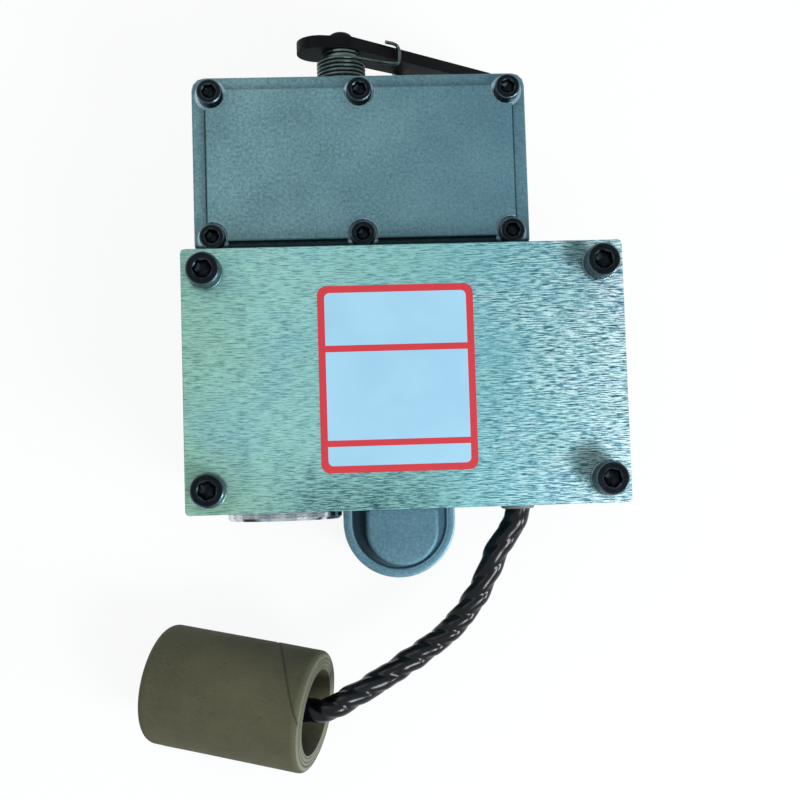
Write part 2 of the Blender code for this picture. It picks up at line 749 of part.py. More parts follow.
# Steel plate with its gasket and screws
def make_plate(magnet_pocket):
    half_x = PLATE_WIDTH / 2
    half_y = PLATE_HEIGHT / 2
    outline = rounded_rectangle(-half_x, half_x, -half_y, half_y, PLATE_CORNER)
    plate = extruded("cover_plate", outline, PLATE_FACE_Z - PLATE_THICKNESS, PLATE_FACE_Z, PARTS)
    bevel(plate, 0.4 * MM)
    low = MAGNET_FRONT_Z - PLATE_THICKNESS
    high = PLATE_FACE_Z + PLATE_THICKNESS
    cut(plate, rods("plate_clearance_holes", M8_SHANK + GAP, PLATE_SCREWS, low, high))
    dress(plate, GROUND_STEEL)
    rim = rounded_rectangle(-BOX_HALF_X, BOX_HALF_X, -BOX_HALF_Y, BOX_HALF_Y, CAST_CORNER)
    start = MAGNET_FRONT_Z + GAP
    gasket = extruded("plate_gasket", rim, start, start + GASKET, PARTS)
    cut(gasket, magnet_pocket)
    cut(gasket, rods("plate_gasket_holes", M8_SHANK + GAP, PLATE_SCREWS, low, high))
    dress(gasket, GASKET_FIBRE)


def make_plate_screws():
    washer = turned(
        "lock_washer",
        ring_profile(M8_SHANK + GAP, LOCK_WASHER_RADIUS, 0.0, LOCK_WASHER_THICKNESS),
        14,
        CUTTERS,
    )
    split = [(0.0, -0.6 * MM), (LOCK_WASHER_RADIUS * 2, 1.4 * MM)]
    split += [(LOCK_WASHER_RADIUS * 2, 2.6 * MM), (0.0, 0.6 * MM)]
    cut(washer, extruded("washer_split", split, -MM, LOCK_WASHER_THICKNESS + MM))
    seat = PLATE_FACE_Z + GAP
    turns = [Matrix.Rotation(angle, 4, "Z") for angle in (2.1, 3.9, -0.4, -1.9)]
    spots = [spot @ turn for spot, turn in zip(at(PLATE_SCREWS, seat), turns)]
    copies([f"lock_washer_{i}" for i in (1, 2, 3, 4)], washer, spots, BLACK_STEEL)
    screw = cap_screw_template(
        "plate_screw", M8_SHANK, M8_HEAD, M8_HEAD_HEIGHT, M8_LENGTH, M8_SOCKET, 16
    )
    spots = at(PLATE_SCREWS, seat + LOCK_WASHER_THICKNESS + GAP)
    copies([f"plate_screw_{i}" for i in (1, 2, 3, 4)], screw, spots, BLACK_STEEL)


# Cast cover over the link compartment
def cover_outline(inset, corner):
    return rounded_rectangle(
        COVER_OFFSET_X - COVER_WIDTH / 2 + inset,
        COVER_OFFSET_X + COVER_WIDTH / 2 - inset,
        COVER_Y - COVER_HEIGHT / 2 + inset,
        COVER_TOP_Y - inset,
        corner,
    )


def make_link_cover(link_pocket):
    rear = COVER_FACE_Z - COVER_FLANGE
    cover = extruded("link_cover", cover_outline(0.0, COVER_CORNER), rear, COVER_FACE_Z, PARTS)
    bevel(cover, 0.6 * MM)
    top = COVER_FACE_Z + PANEL_RISE
    panel = extruded("raised_panel", cover_outline(PANEL_MARGIN, PANEL_CORNER), rear + MM, top)
    bevel(panel, 0.8 * MM, 2)
    join(cover, panel)
    inner = cover_outline(PANEL_MARGIN + 2 * SPOT_FACE_RADIUS, PANEL_CORNER)
    cut(cover, extruded("cover_hollow", inner, rear - MM, top - PANEL_WALL))
    cut(cover, rods("spot_faces", SPOT_FACE_RADIUS, COVER_SCREWS, COVER_FACE_Z, top + MM, 18))
    cut(cover, rods("cover_clearance_holes", M6_SHANK + GAP, COVER_SCREWS, rear - MM, top + MM))
    dress(cover, CAST)
    start = LINK_FRONT_Z + GAP
    gasket = extruded("cover_gasket", cover_outline(GAP, COVER_CORNER), start, start + GASKET, PARTS)
    cut(gasket, link_pocket)
    cut(gasket, rods("cover_gasket_holes", M6_SHANK + GAP, COVER_SCREWS, start - MM, top + MM))
    dress(gasket, GASKET_FIBRE)
    screw = cap_screw_template(
        "cover_screw", M6_SHANK, M6_HEAD, M6_HEAD_HEIGHT, M6_LENGTH, M6_SOCKET, 12
    )
    names = [f"cover_screw_{i + 1}" for i in range(len(COVER_SCREWS))]
    copies(names, screw, at(COVER_SCREWS, COVER_FACE_Z + GAP), BLACK_STEEL)


# Oval end cap with its gasket, and the screw behind it
def make_end_cap():
    outline = d_shape(LOBE_X, LOBE_CENTRE_Y, LOBE_RADIUS, CAP_TOP_Y)
    front = CAP_REAR_Z + CAP_THICKNESS
    cap = extruded("end_cap", outline, CAP_REAR_Z, front, PARTS)
    bevel(cap, 0.5 * MM)
    floor = d_shape(LOBE_X, LOBE_CENTRE_Y, LOBE_RADIUS - CAP_LIP, CAP_TOP_Y + MM)
    cut(cap, extruded("cap_recess", floor, front - CAP_RECESS, front + CAP_THICKNESS))
    middle = d_shape(LOBE_X + 1.2 * MM, CAP_MIDDLE_Y, CAP_MIDDLE_RADIUS, CAP_TOP_Y - GAP)
    raised = extruded("cap_middle", middle, CAP_REAR_Z + CAP_RECESS, front + CAP_MIDDLE_RISE)
    bevel(raised, 0.8 * MM, 2)
    join(cap, raised)
    pocket_top = -BOX_HALF_Y - MM - GAP
    plug = d_shape(LOBE_X, LOBE_CENTRE_Y, LOBE_POCKET_RADIUS - GAP, pocket_top)
    join(cap, extruded("cap_spigot", plug, CAP_REAR_Z - CAP_SPIGOT, CAP_REAR_Z + CAP_RECESS))
    dress(cap, CAST)
    start = LOBE_FRONT_Z + GAP
    seal = extruded("end_cap_gasket", outline, start, start + GASKET, PARTS)
    hole = d_shape(LOBE_X, LOBE_CENTRE_Y, LOBE_POCKET_RADIUS, -BOX_HALF_Y - MM)
    cut(seal, extruded("cap_gasket_hole", hole, start - MM, start + GASKET + MM))
    dress(seal, GASKET_FIBRE)


def make_stop_screw():
    outer = -BOX_HALF_Y - MM
    inner = -BOX_HALF_Y + HOUSING_WALL
    place = Matrix.Translation((LOBE_X, 0.0, STOP_SCREW_Z)) @ TURN_TO_Y
    chamfer = 0.6 * MM
    tip = inner + STOP_SCREW_IN
    tail = outer - STOP_SCREW_OUT
    profile = [
        (0.0, tip),
        (STOP_SCREW_RADIUS - chamfer, tip),
        (STOP_SCREW_RADIUS, tip - chamfer),
        (STOP_SCREW_RADIUS, tail + chamfer),
        (STOP_SCREW_RADIUS - chamfer, tail),
        (0.0, tail),
    ]
    dress(turned("armature_stop_screw", profile, 12, PARTS, place), DULL_STEEL)
    low = outer - GAP - NUT_THICKNESS
    nut = rods("stop_screw_nut", NUT_RADIUS, [(LOBE_X, STOP_SCREW_Z)], low, outer - GAP, 6, PARTS, "Y")
    hole = STOP_SCREW_RADIUS + GAP
    cut(nut, rods("nut_hole", hole, [(LOBE_X, STOP_SCREW_Z)], low - MM, outer + MM, 12, along="Y"))
    dress(nut, DULL_STEEL)


# Bearing carrier, bearings, shaft and armature
def on_shaft(y):
    return Matrix.Translation((SHAFT_X, y, SHAFT_Z)) @ TURN_TO_Y


def make_bearing_carrier():
    depth = HOUSING_WALL + GAP
    floor = depth - BEARING_WIDTH - 2 * GAP
    bore = BEARING_RADIUS + GAP
    lip = 3.0 * CARRIER_CHAMFER
    profile = [
        (0.0, floor),
        (bore, floor),
        (bore, depth),
        (CARRIER_SPIGOT - 2 * GAP, depth),
        (CARRIER_SPIGOT, depth - 2 * GAP),
        (CARRIER_SPIGOT, 0.0),
        (CARRIER_RADIUS, 0.0),
        (CARRIER_RADIUS, -CARRIER_FLANGE + CARRIER_CHAMFER),
        (CARRIER_RADIUS - CARRIER_CHAMFER, -CARRIER_FLANGE),
        (CARRIER_SPIGOT - lip, -CARRIER_FLANGE),
        (CARRIER_SPIGOT - lip - CARRIER_CHAMFER, -CARRIER_FLANGE + CARRIER_CHAMFER),
        (0.0, -CARRIER_FLANGE + CARRIER_CHAMFER),
    ]
    seat = -BOX_HALF_Y - GAP
    carrier = turned("bearing_carrier", profile, 28, PARTS, on_shaft(seat))
    places = carrier_screw_places()
    head_room = M3_HEAD_HEIGHT + GAP
    low = seat - CARRIER_FLANGE
    holes = rods("carrier_holes", M3_SHANK + GAP, places, low - MM, seat + MM, 8, along="Y")
    sinks = rods("carrier_sinks", M3_HEAD + GAP, places, low - MM, low + head_room, 12, along="Y")
    cut(carrier, holes)
    cut(carrier, sinks)
    dress(carrier, TURNED_STEEL)
    screw = cap_screw_template(
        "carrier_screw", M3_SHANK, M3_HEAD, M3_HEAD_HEIGHT, M3_LENGTH, M3_SOCKET, 10
    )
    turn = Matrix.Rotation(math.pi / 2, 4, "X")
    spots = [Matrix.Translation((x, low + head_room - GAP, z)) @ turn for x, z in places]
    copies([f"carrier_screw_{i}" for i in (1, 2, 3)], screw, spots, BLACK_STEEL)


def make_bearing(name, start):
    inner = SHAFT_RADIUS + GAP
    profile = ring_profile(inner, BEARING_RADIUS, 0.0, BEARING_WIDTH)
    dress(turned(name, profile, 20, PARTS, on_shaft(start)), DULL_STEEL)


def make_shaft():
    inner_y = BOX_HALF_Y - HOUSING_WALL
    low = -inner_y - BEARING_WIDTH
    high = ARM_END_Y + GAP
    chamfer = 0.6 * MM
    collar = BEARING_SHOULDER + MM
    shoulder = -inner_y + 2 * GAP
    profile = [
        (0.0, high),
        (SHAFT_RADIUS - chamfer, high),
        (SHAFT_RADIUS, high - chamfer),
        (SHAFT_RADIUS, shoulder + 2 * MM),
        (collar, shoulder + 2 * MM),
        (collar, shoulder),
        (SHAFT_RADIUS, shoulder),
        (SHAFT_RADIUS, low + chamfer),
        (SHAFT_RADIUS - chamfer, low),
        (0.0, low),
    ]
    dress(turned("armature_shaft", profile, 18, PARTS, on_shaft(0.0)), TURNED_STEEL)


def make_armature():
    half_span = math.radians(38.0)
    outline = []
    for turn in (0.0, math.pi):
        middle = ARMATURE_REST_ANGLE + turn
        outline += arc(SHAFT_X, SHAFT_Z, ARMATURE_RADIUS, middle - half_span, middle + half_span, 10)
        side = middle + math.pi / 2
        outline += arc(SHAFT_X, SHAFT_Z, ARMATURE_HUB, side - 0.35, side + 0.35, 4)
    body = extruded(
        "armature", outline, -ARMATURE_HALF_LENGTH, ARMATURE_HALF_LENGTH, PARTS, plane="XZ"
    )
    place = [(SHAFT_X, SHAFT_Z)]
    reach = 2 * ARMATURE_HALF_LENGTH
    cut(body, rods("armature_bore", SHAFT_RADIUS + GAP, place, -reach, reach, 16, along="Y"))
    dress(body, CORE_IRON)


def make_return_spring():
    low = ARMATURE_HALF_LENGTH + GAP + RETURN_WIRE
    high = BOX_HALF_Y - HOUSING_WALL - GAP - RETURN_WIRE
    pitch = 2 * RETURN_WIRE + WIRE_GAP + 2 * MM
    turns = max(3, int((high - low) / pitch))
    points = []
    for i in range(turns * 8 + 1):
        angle = 2 * math.pi * i / 8
        points.append(
            (
                SHAFT_X + RETURN_RADIUS * math.cos(angle),
                low + (high - low) * i / (turns * 8),
                SHAFT_Z + RETURN_RADIUS * math.sin(angle),
            )
        )
    dress(wire("return_spring", points, RETURN_WIRE, 2), SPRING_STEEL)


# Stator core with its coils
def make_core():
    low = CORE_LOW_Z
    high = CORE_HIGH_Z
    outline = [
        (CORE_LEFT_X, low),
        (CORE_RIGHT_X, low),
        (CORE_RIGHT_X, high),
        (CORE_LEFT_X, high),
        (CORE_LEFT_X, high - CORE_LEG),
        (CORE_YOKE_X, high - CORE_LEG),
        (CORE_YOKE_X, low + CORE_LEG),
        (CORE_LEFT_X, low + CORE_LEG),
    ]
    core = extruded("stator_core", outline, -CORE_HALF_DEPTH, CORE_HALF_DEPTH, PARTS, plane="XZ")
    reach = 2 * CORE_HALF_DEPTH
    place = [(SHAFT_X, SHAFT_Z)]
    cut(core, rods("pole_bore", ARMATURE_RADIUS + POLE_GAP, place, -reach, reach, 36, along="Y"))
    cut(core, rods("core_bolt_holes", M6_SHANK + GAP, CORE_BOLTS, 0.0, high + MM))
    dress(core, CORE_IRON)
    length = CORE_HIGH_Z + GAP - HOUSING_FLOOR * 0.5
    bolt = cap_screw_template(
        "core_bolt", M6_SHANK, M6_HEAD, M6_HEAD_HEIGHT, length, M6_SOCKET, 12
    )
    copies(["core_bolt_1", "core_bolt_2"], bolt, at(CORE_BOLTS, CORE_HIGH_Z + GAP), DULL_STEEL)


def leg_outline(middle, grow):
    half = CORE_LEG / 2 + grow
    side = CORE_HALF_DEPTH + grow
    radius = max(0.4 * MM, min(grow, 3.0 * MM))
    return rounded_rectangle(-side, side, middle - half, middle + half, radius, 1)


def make_coils():
    for label, middle in (("lower", CORE_LOW_Z + CORE_LEG / 2), ("upper", CORE_HIGH_Z - CORE_LEG / 2)):
        tube = FORMER_WALL + GAP
        low = FORMER_LEFT_X
        high = FORMER_RIGHT_X
        former = extruded(f"coil_former_{label}", leg_outline(middle, tube), low, high, PARTS, "YZ")
        rim = leg_outline(middle, tube + FORMER_RIM)
        for side, start in (("left", low), ("right", high - FORMER_FLANGE)):
            end = start + FORMER_FLANGE
            join(former, extruded(f"former_rim_{label}_{side}", rim, start, end, plane="YZ"))
        bore = leg_outline(middle, GAP)
        cut(former, extruded(f"former_bore_{label}", bore, low - MM, high + MM, plane="YZ"))
        dress(former, FORMER_NYLON)
        low = FORMER_LEFT_X + FORMER_FLANGE + GAP
        high = FORMER_RIGHT_X - FORMER_FLANGE - GAP
        outer = leg_outline(middle, tube + GAP + WINDING_DEPTH)
        winding = extruded(f"coil_winding_{label}", outer, low, high, PARTS, "YZ")
        hole = leg_outline(middle, tube + GAP)
        cut(winding, extruded(f"winding_hole_{label}", hole, low - MM, high + MM, plane="YZ"))
        dress(winding, COPPER)


# Output arm, its pin and the link to the pump's rack
def make_output_arm():
    circles = [(SHAFT_X, SHAFT_Z, ARM_HUB_RADIUS), (LINK_X, ARM_PIN_Z, ARM_END_RADIUS)]
    arm = extruded("output_arm", blended_circles(circles), ARM_START_Y, ARM_END_Y, PARTS, plane="XZ")
    low = ARM_START_Y - MM
    high = ARM_END_Y + MM
    cut(arm, rods("arm_bore", SHAFT_RADIUS + GAP, [(SHAFT_X, SHAFT_Z)], low, high, 14, along="Y"))
    cut(arm, rods("arm_pin_hole", ARM_PIN_RADIUS + GAP, [(LINK_X, ARM_PIN_Z)], low, high, 12, along="Y"))
    dress(arm, DULL_STEEL)
    end = LINK_START_Y + LINK_THICKNESS + MM
    start = ARM_START_Y - GAP
    lip = MM
    profile = [
        (0.0, end),
        (ARM_PIN_RADIUS - GAP, end),
        (ARM_PIN_RADIUS, end - GAP),
        (ARM_PIN_RADIUS, start),
        (ARM_PIN_RADIUS + lip, start),
        (ARM_PIN_RADIUS + lip, start - lip),
        (0.0, start - lip),
    ]
    place = Matrix.Translation((LINK_X, 0.0, ARM_PIN_Z)) @ TURN_TO_Y
    dress(turned("arm_pin", profile, 14, PARTS, place), DULL_STEEL)


def make_rack_link():
    half = LINK_WIDTH / 2
    top = ARM_PIN_Z + LINK_TOP_RISE
    outline = rounded_rectangle(LINK_X - half, LINK_X + half, LINK_REAR_Z, top, LINK_CORNER)
    end = LINK_START_Y + LINK_THICKNESS
    link = extruded("rack_link", outline, LINK_START_Y, end, PARTS, plane="XZ")
    tab_end = LINK_X - half - LINK_TAB_REACH
    tab_top = top - LINK_TAB_DROP
    tab = [
        (LINK_X, tab_top - LINK_TAB_WIDTH),
        (LINK_X, tab_top),
        (tab_end, tab_top),
        (tab_end, tab_top - LINK_TAB_WIDTH),
    ]
    join(link, extruded("stop_tab", list(reversed(tab)), LINK_START_Y, end, plane="XZ"))
    radius = ARM_PIN_RADIUS + GAP
    slot = rounded_rectangle(
        LINK_X - LINK_SLOT_HALF,
        LINK_X + LINK_SLOT_HALF,
        ARM_PIN_Z - radius,
        ARM_PIN_Z + radius,
        radius * 0.98,
    )
    cut(link, extruded("link_slot", slot, LINK_START_Y - MM, end + MM, plane="XZ"))
    hook_z = LINK_REAR_Z + LINK_HOOK_DEPTH
    hook = [
        (LINK_X - LINK_HOOK_RADIUS, LINK_REAR_Z - MM),
        (LINK_X + LINK_HOOK_RADIUS, LINK_REAR_Z - MM),
        (LINK_X + LINK_HOOK_RADIUS, hook_z),
        (LINK_X - LINK_HOOK_RADIUS, hook_z),
    ]
    cut(link, extruded("rack_notch", hook, LINK_START_Y - MM, end + MM, plane="XZ"))
    dress(link, DULL_STEEL)


# Stop shaft, bush, lever, finger and spring
def on_stop_shaft(y=0.0):
    return Matrix.Translation((STOP_X, y, STOP_Z)) @ TURN_TO_Y


def make_stop_shaft():
    chamfer = 0.5 * MM
    end = LEVER_END_Y - GAP
    bore = 2.5 * MM + GAP
    depth = 2.4 * LEVER_THICKNESS
    profile = [
        (0.0, end - depth),
        (bore, end - depth),
        (bore, end),
        (STOP_SHAFT_RADIUS - chamfer, end),
        (STOP_SHAFT_RADIUS, end - chamfer),
        (STOP_SHAFT_RADIUS, STOP_SHAFT_START_Y + chamfer),
        (STOP_SHAFT_RADIUS - chamfer, STOP_SHAFT_START_Y),
        (0.0, STOP_SHAFT_START_Y),
    ]
    dress(turned("stop_shaft", profile, 18, PARTS, on_stop_shaft()), DULL_STEEL)
    inner = STOP_SHAFT_RADIUS + GAP
    bush = ring_profile(inner, BUSH_RADIUS, BUSH_START_Y, BUSH_END_Y)
    dress(turned("stop_shaft_bush", bush, 24, PARTS, on_stop_shaft()), DULL_STEEL)
    washer = ring_profile(inner, BUSH_RADIUS, BUSH_END_Y + GAP, BUSH_END_Y + GAP + WASHER_THICKNESS)
    dress(turned("lever_washer", washer, 16, PARTS, on_stop_shaft()), DULL_STEEL)
    end = BUSH_START_Y - GAP
    clip = ring_profile(inner, BUSH_RADIUS - MM, end - CIRCLIP_THICKNESS, end)
    dress(turned("shaft_circlip", clip, 16, PARTS, on_stop_shaft()), BLACK_STEEL)
    head = LEVER_SCREW_HEAD
    seat = LEVER_END_Y + GAP
    rise = LEVER_SCREW_RISE
    dome = [
        (head * math.cos(a), seat + rise * (0.35 + 0.65 * math.sin(a)))
        for a in [math.pi / 2 * i / 4 for i in range(4, -1, -1)]
    ]
    profile = [(0.0, dome[0][1])] + dome[1:]
    profile += [(head, seat), (2.5 * MM, seat), (2.5 * MM, seat - depth + MM), (0.0, seat - depth + MM)]
    dress(turned("lever_screw", profile, 18, PARTS, on_stop_shaft()), LEVER_BLACK)


def make_stop_lever():
    end = Vector((STOP_X, 0.0, STOP_Z)) + LEVER_DIRECTION * LEVER_ARM_LENGTH
    hub = (STOP_X, STOP_Z, LEVER_HUB_RADIUS)
    tip = (end.x, end.z, LEVER_ARM_END_RADIUS)
    tail = (STOP_X - LEVER_TAIL_REACH, STOP_Z, LEVER_TAIL_RADIUS)
    arm = blended_circles([hub, tip])
    lever = extruded("stop_lever", arm, LEVER_START_Y, LEVER_END_Y, PARTS, plane="XZ")
    back = blended_circles([tail, (STOP_X, STOP_Z, LEVER_HUB_RADIUS - GAP)])
    join(lever, extruded("lever_tail", back, LEVER_START_Y, LEVER_END_Y, plane="XZ"))
    bevel(lever, 0.5 * MM)
    low = LEVER_START_Y - MM
    high = LEVER_END_Y + MM
    place = [(STOP_X, STOP_Z)]
    cut(lever, rods("lever_bore", STOP_SHAFT_RADIUS + GAP, place, low, high, 16, along="Y"))
    cut(lever, rods("lever_end_hole", LEVER_END_HOLE, [(end.x, end.z)], low, high, 12, along="Y"))
    dress(lever, LEVER_BLACK)
    start = STOP_SHAFT_START_Y
    circles = [
        (STOP_X, STOP_Z, FINGER_HUB_RADIUS),
        (STOP_X - FINGER_LENGTH, STOP_Z, FINGER_END_RADIUS),
    ]
    stop = start + FINGER_THICKNESS
    finger = extruded("stop_finger", blended_circles(circles), start, stop, PARTS, plane="XZ")
    cut(finger, rods("finger_bore", STOP_SHAFT_RADIUS + GAP, place, start - MM, stop + MM, 14, along="Y"))
    dress(finger, DULL_STEEL)
    x, z = stop_pin_place()
    profile = [
        (0.0, LEVER_END_Y),
        (STOP_PIN_RADIUS - GAP, LEVER_END_Y),
        (STOP_PIN_RADIUS, LEVER_END_Y - GAP),
        (STOP_PIN_RADIUS, LINK_INNER_TOP_Y + 2 * MM + GAP),
        (0.0, LINK_INNER_TOP_Y + 2 * MM + GAP),
    ]
    place = Matrix.Translation((x, 0.0, z)) @ TURN_TO_Y
    dress(turned("lever_stop_pin", profile, 12, PARTS, place), DULL_STEEL)


def make_lever_spring():
    pitch = 2 * SPRING_WIRE + WIRE_GAP
    first = math.pi
    last = math.pi / 2 + LEVER_ARM_ANGLE - 2 * math.pi * (SPRING_TURNS - 1)
    steps = round((first - last) / (2 * math.pi) * 10)
    centre = Vector((STOP_X, 0.0, STOP_Z))
    anchor_x, anchor_z = spring_anchor_place()
    deep = COVER_TOP_Y - LINK_WALL / 2
    points = [
        (anchor_x, deep, anchor_z),
        (anchor_x, SPRING_START_Y - 2.0 * MM, anchor_z),
        (anchor_x, SPRING_START_Y - 0.6 * MM, anchor_z + 0.6 * MM),
        (anchor_x, SPRING_START_Y, anchor_z + 2.2 * MM),
    ]
    end_y = SPRING_START_Y
    for i in range(steps + 1):
        angle = first + (last - first) * i / steps
        end_y = SPRING_START_Y + pitch * (first - angle) / (2 * math.pi)
        spot = centre + SPRING_RADIUS * Vector((math.cos(angle), 0.0, math.sin(angle)))
        points.append((spot.x, end_y, spot.z))
    over = LEVER_END_Y + GAP + SPRING_WIRE
    run = SPRING_HOOK_DISTANCE
    hook = [
        (run * 0.45, end_y + 0.5 * MM),
        (run * 0.85, end_y + 1.4 * MM),
        (run * 0.97, end_y + 2.6 * MM),
        (run, LEVER_START_Y + LEVER_THICKNESS / 2),
        (run * 0.97, over - MM),
        (run * 0.90, over),
        (run * 0.76, over),
    ]
    for along, y in hook:
        spot = centre + LEVER_NORMAL * SPRING_RADIUS + LEVER_DIRECTION * along
        points.append((spot.x, y, spot.z))
    dress(wire("lever_spring", points, SPRING_WIRE, 2), SPRING_STEEL)


# Gland, cable, connector and paper guard
def make_gland():
    place = Matrix.Translation((GLAND_X, -BOX_HALF_Y - GAP, GLAND_Z)) @ TURN_TO_Y
    inner = CABLE_RADIUS + GAP
    deep = HOUSING_WALL - GAP
    profile = [
        (GLAND_THREAD_RADIUS, deep),
        (GLAND_THREAD_RADIUS, 0.0),
        (GLAND_COLLAR_RADIUS, 0.0),
        (GLAND_COLLAR_RADIUS, -GLAND_COLLAR),
        (GLAND_NOSE_RADIUS, -GLAND_COLLAR),
        (GLAND_NOSE_RADIUS - 0.8 * MM, -GLAND_COLLAR - GLAND_NOSE),
        (inner, -GLAND_COLLAR - GLAND_NOSE),
        (inner, deep),
    ]
    dress(turned("cable_gland", profile, 22, PARTS, place), SEAL_RUBBER)


def tube_frame():
    """The paper tube's own frame: its far end at the origin, +Z towards its mouth."""
    flat = math.cos(TUBE_TILT)
    forward = Vector(
        (flat * math.cos(TUBE_HEADING), flat * math.sin(TUBE_HEADING), math.sin(TUBE_TILT))
    )
    down = (Vector((0.0, 0.0, -1.0)) + forward * forward.z).normalized()
    side = forward.cross(down)
    place = Matrix((down, side, forward)).transposed().to_4x4()
    place.translation = (TUBE_FAR_X, TUBE_FAR_Y, TUBE_RADIUS * flat + TABLE_GAP)
    return place


def make_connector():
    frame = tube_frame()
    wall = ring_profile(TUBE_BORE, TUBE_RADIUS, 0.0, TUBE_LENGTH)
    tube = turned("paper_guard_tube", wall, 48, PARTS, frame)
    dress(tube, KRAFT)
    sunk = frame @ Matrix.Translation((TUBE_BORE - COUPLING_RADIUS - GAP, 0.0, 0.0))
    mouth = CONNECTOR_START + 9.0 * MM
    rear = COUPLING_START + COUPLING_LENGTH
    profile = [
        (0.0, CONNECTOR_END),
        (CABLE_RADIUS + MM, CONNECTOR_END),
        (CABLE_RADIUS + 2 * MM, CONNECTOR_END - 2 * MM),
        (CABLE_RADIUS + 2 * MM, CONNECTOR_END - 12 * MM),
        (CONNECTOR_RADIUS, rear + 2 * MM),
        (CONNECTOR_RADIUS, CONNECTOR_START),
        (CONNECTOR_RADIUS - 2.0 * MM, CONNECTOR_START),
        (CONNECTOR_RADIUS - 2.0 * MM, mouth),
        (0.0, mouth),
    ]
    body = turned("connector_body", profile, 24, PARTS, sunk)
    spots = [
        (CONTACT_CIRCLE * math.cos(angle), CONTACT_CIRCLE * math.sin(angle))
        for angle in [0.13 + 2 * math.pi * i / CONTACT_COUNT for i in range(CONTACT_COUNT)]
    ]
    contacts = rods("contacts", CONTACT_RADIUS, spots, mouth - CONTACT_LENGTH, mouth + MM, 8)
    contacts.matrix_world = sunk
    join(body, contacts)
    dress(body, CONNECTOR_BLACK)
    ring = ring_profile(CONNECTOR_RADIUS + GAP, COUPLING_RADIUS, COUPLING_START, rear)
    dress(turned("coupling_ring", ring, 24, PARTS, sunk), CONNECTOR_BLACK)


def make_cable():
    route = [tuple(v * MM for v in point) for point in CABLE_ROUTE_MM]
    dress(wire("cable", smooth_route(route, CABLE_RADIUS * 1.1), CABLE_RADIUS, 3), CABLE_BLACK)


def shade(obj):
    if obj.type == "MESH":
        obj.data.shade_smooth()
        obj.data.set_sharp_from_angle(angle=math.radians(35.0))


def build():
    magnet_pocket = make_magnet_pocket()
    link_pocket = make_link_pocket()
    make_housing(magnet_pocket, link_pocket)
    make_plate(magnet_pocket)
    make_plate_screws()
    make_link_cover(link_pocket)
    make_end_cap()
    make_stop_screw()
    make_bearing_carrier()
    inner_y = BOX_HALF_Y - HOUSING_WALL
    make_bearing("lower_bearing", -inner_y - BEARING_WIDTH)
    make_bearing("upper_bearing", inner_y + GAP)
    make_shaft()
    make_armature()
    make_return_spring()
    make_core()
    make_coils()
    make_output_arm()
    make_rack_link()
    make_stop_shaft()
    make_stop_lever()
    make_lever_spring()
    make_gland()
    make_connector()
    make_cable()
    for obj in PARTS.objects:
        shade(obj)


build()
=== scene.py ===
"""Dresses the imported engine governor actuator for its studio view.

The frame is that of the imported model, in metres: the plate faces +Z, the
stop lever is on the +Y side and the cable leaves on the -Y side. Finishes and
the profiles of new pieces are in millimetres, and so are the sizes of each
class that says so.
"""
import logging
import math
from dataclasses import dataclass
from enum import Enum
from functools import reduce
from typing import Mapping, Sequence

import bmesh
import bpy
import numpy as np
from mathutils import Euler, Matrix, Vector


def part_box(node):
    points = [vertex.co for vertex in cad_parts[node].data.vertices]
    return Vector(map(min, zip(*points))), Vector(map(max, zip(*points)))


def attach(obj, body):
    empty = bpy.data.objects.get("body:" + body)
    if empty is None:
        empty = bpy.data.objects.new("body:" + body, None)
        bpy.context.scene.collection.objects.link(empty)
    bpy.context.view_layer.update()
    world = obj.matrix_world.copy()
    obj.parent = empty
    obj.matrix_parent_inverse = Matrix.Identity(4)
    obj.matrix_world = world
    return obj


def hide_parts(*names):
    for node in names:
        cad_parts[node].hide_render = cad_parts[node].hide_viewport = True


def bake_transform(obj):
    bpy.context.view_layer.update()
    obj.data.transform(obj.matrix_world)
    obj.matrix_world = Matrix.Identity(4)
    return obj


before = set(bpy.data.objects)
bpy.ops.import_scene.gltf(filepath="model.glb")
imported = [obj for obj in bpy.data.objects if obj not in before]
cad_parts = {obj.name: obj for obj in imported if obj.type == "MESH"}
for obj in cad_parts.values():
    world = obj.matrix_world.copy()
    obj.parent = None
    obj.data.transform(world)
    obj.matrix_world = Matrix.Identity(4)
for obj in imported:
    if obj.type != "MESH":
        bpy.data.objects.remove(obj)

LOG = logging.getLogger("actuator")
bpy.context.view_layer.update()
MM = 0.001
MM_PER_METRE = 1000
Array = np.ndarray
Colour = tuple[float, float, float]
Point = tuple[float, float, float]
Pair = tuple[float, float]
Settings = Mapping[str, object] | None
Inputs = Mapping[str | int, object] | None


class Body(Enum):
    """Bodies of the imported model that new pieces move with."""

    FIXED = "actuator"
    LEVER = "stop_lever_set"


class Along(Enum):
    """Direction that a turned piece stands in."""

    Z = "Z"
    Y = "Y"


def paint(red: int, green: int, blue: int) -> Colour:
    """Turns a colour as seen on a screen, 0 to 255, into linear light.

    It undoes the sRGB curve: a straight foot and a power of 2.4 above it.

    Args:
        red: red level.
        green: green level.
        blue: blue level.

    Returns:
        The linear colour that a shader socket takes.
    """
    levels = [level / 255 for level in (red, green, blue)]
    return tuple(v / 12.92 if v <= 0.04045 else ((v + 0.055) / 1.055) ** 2.4 for v in levels)


# ---------------------------------------------------------------- shader maths


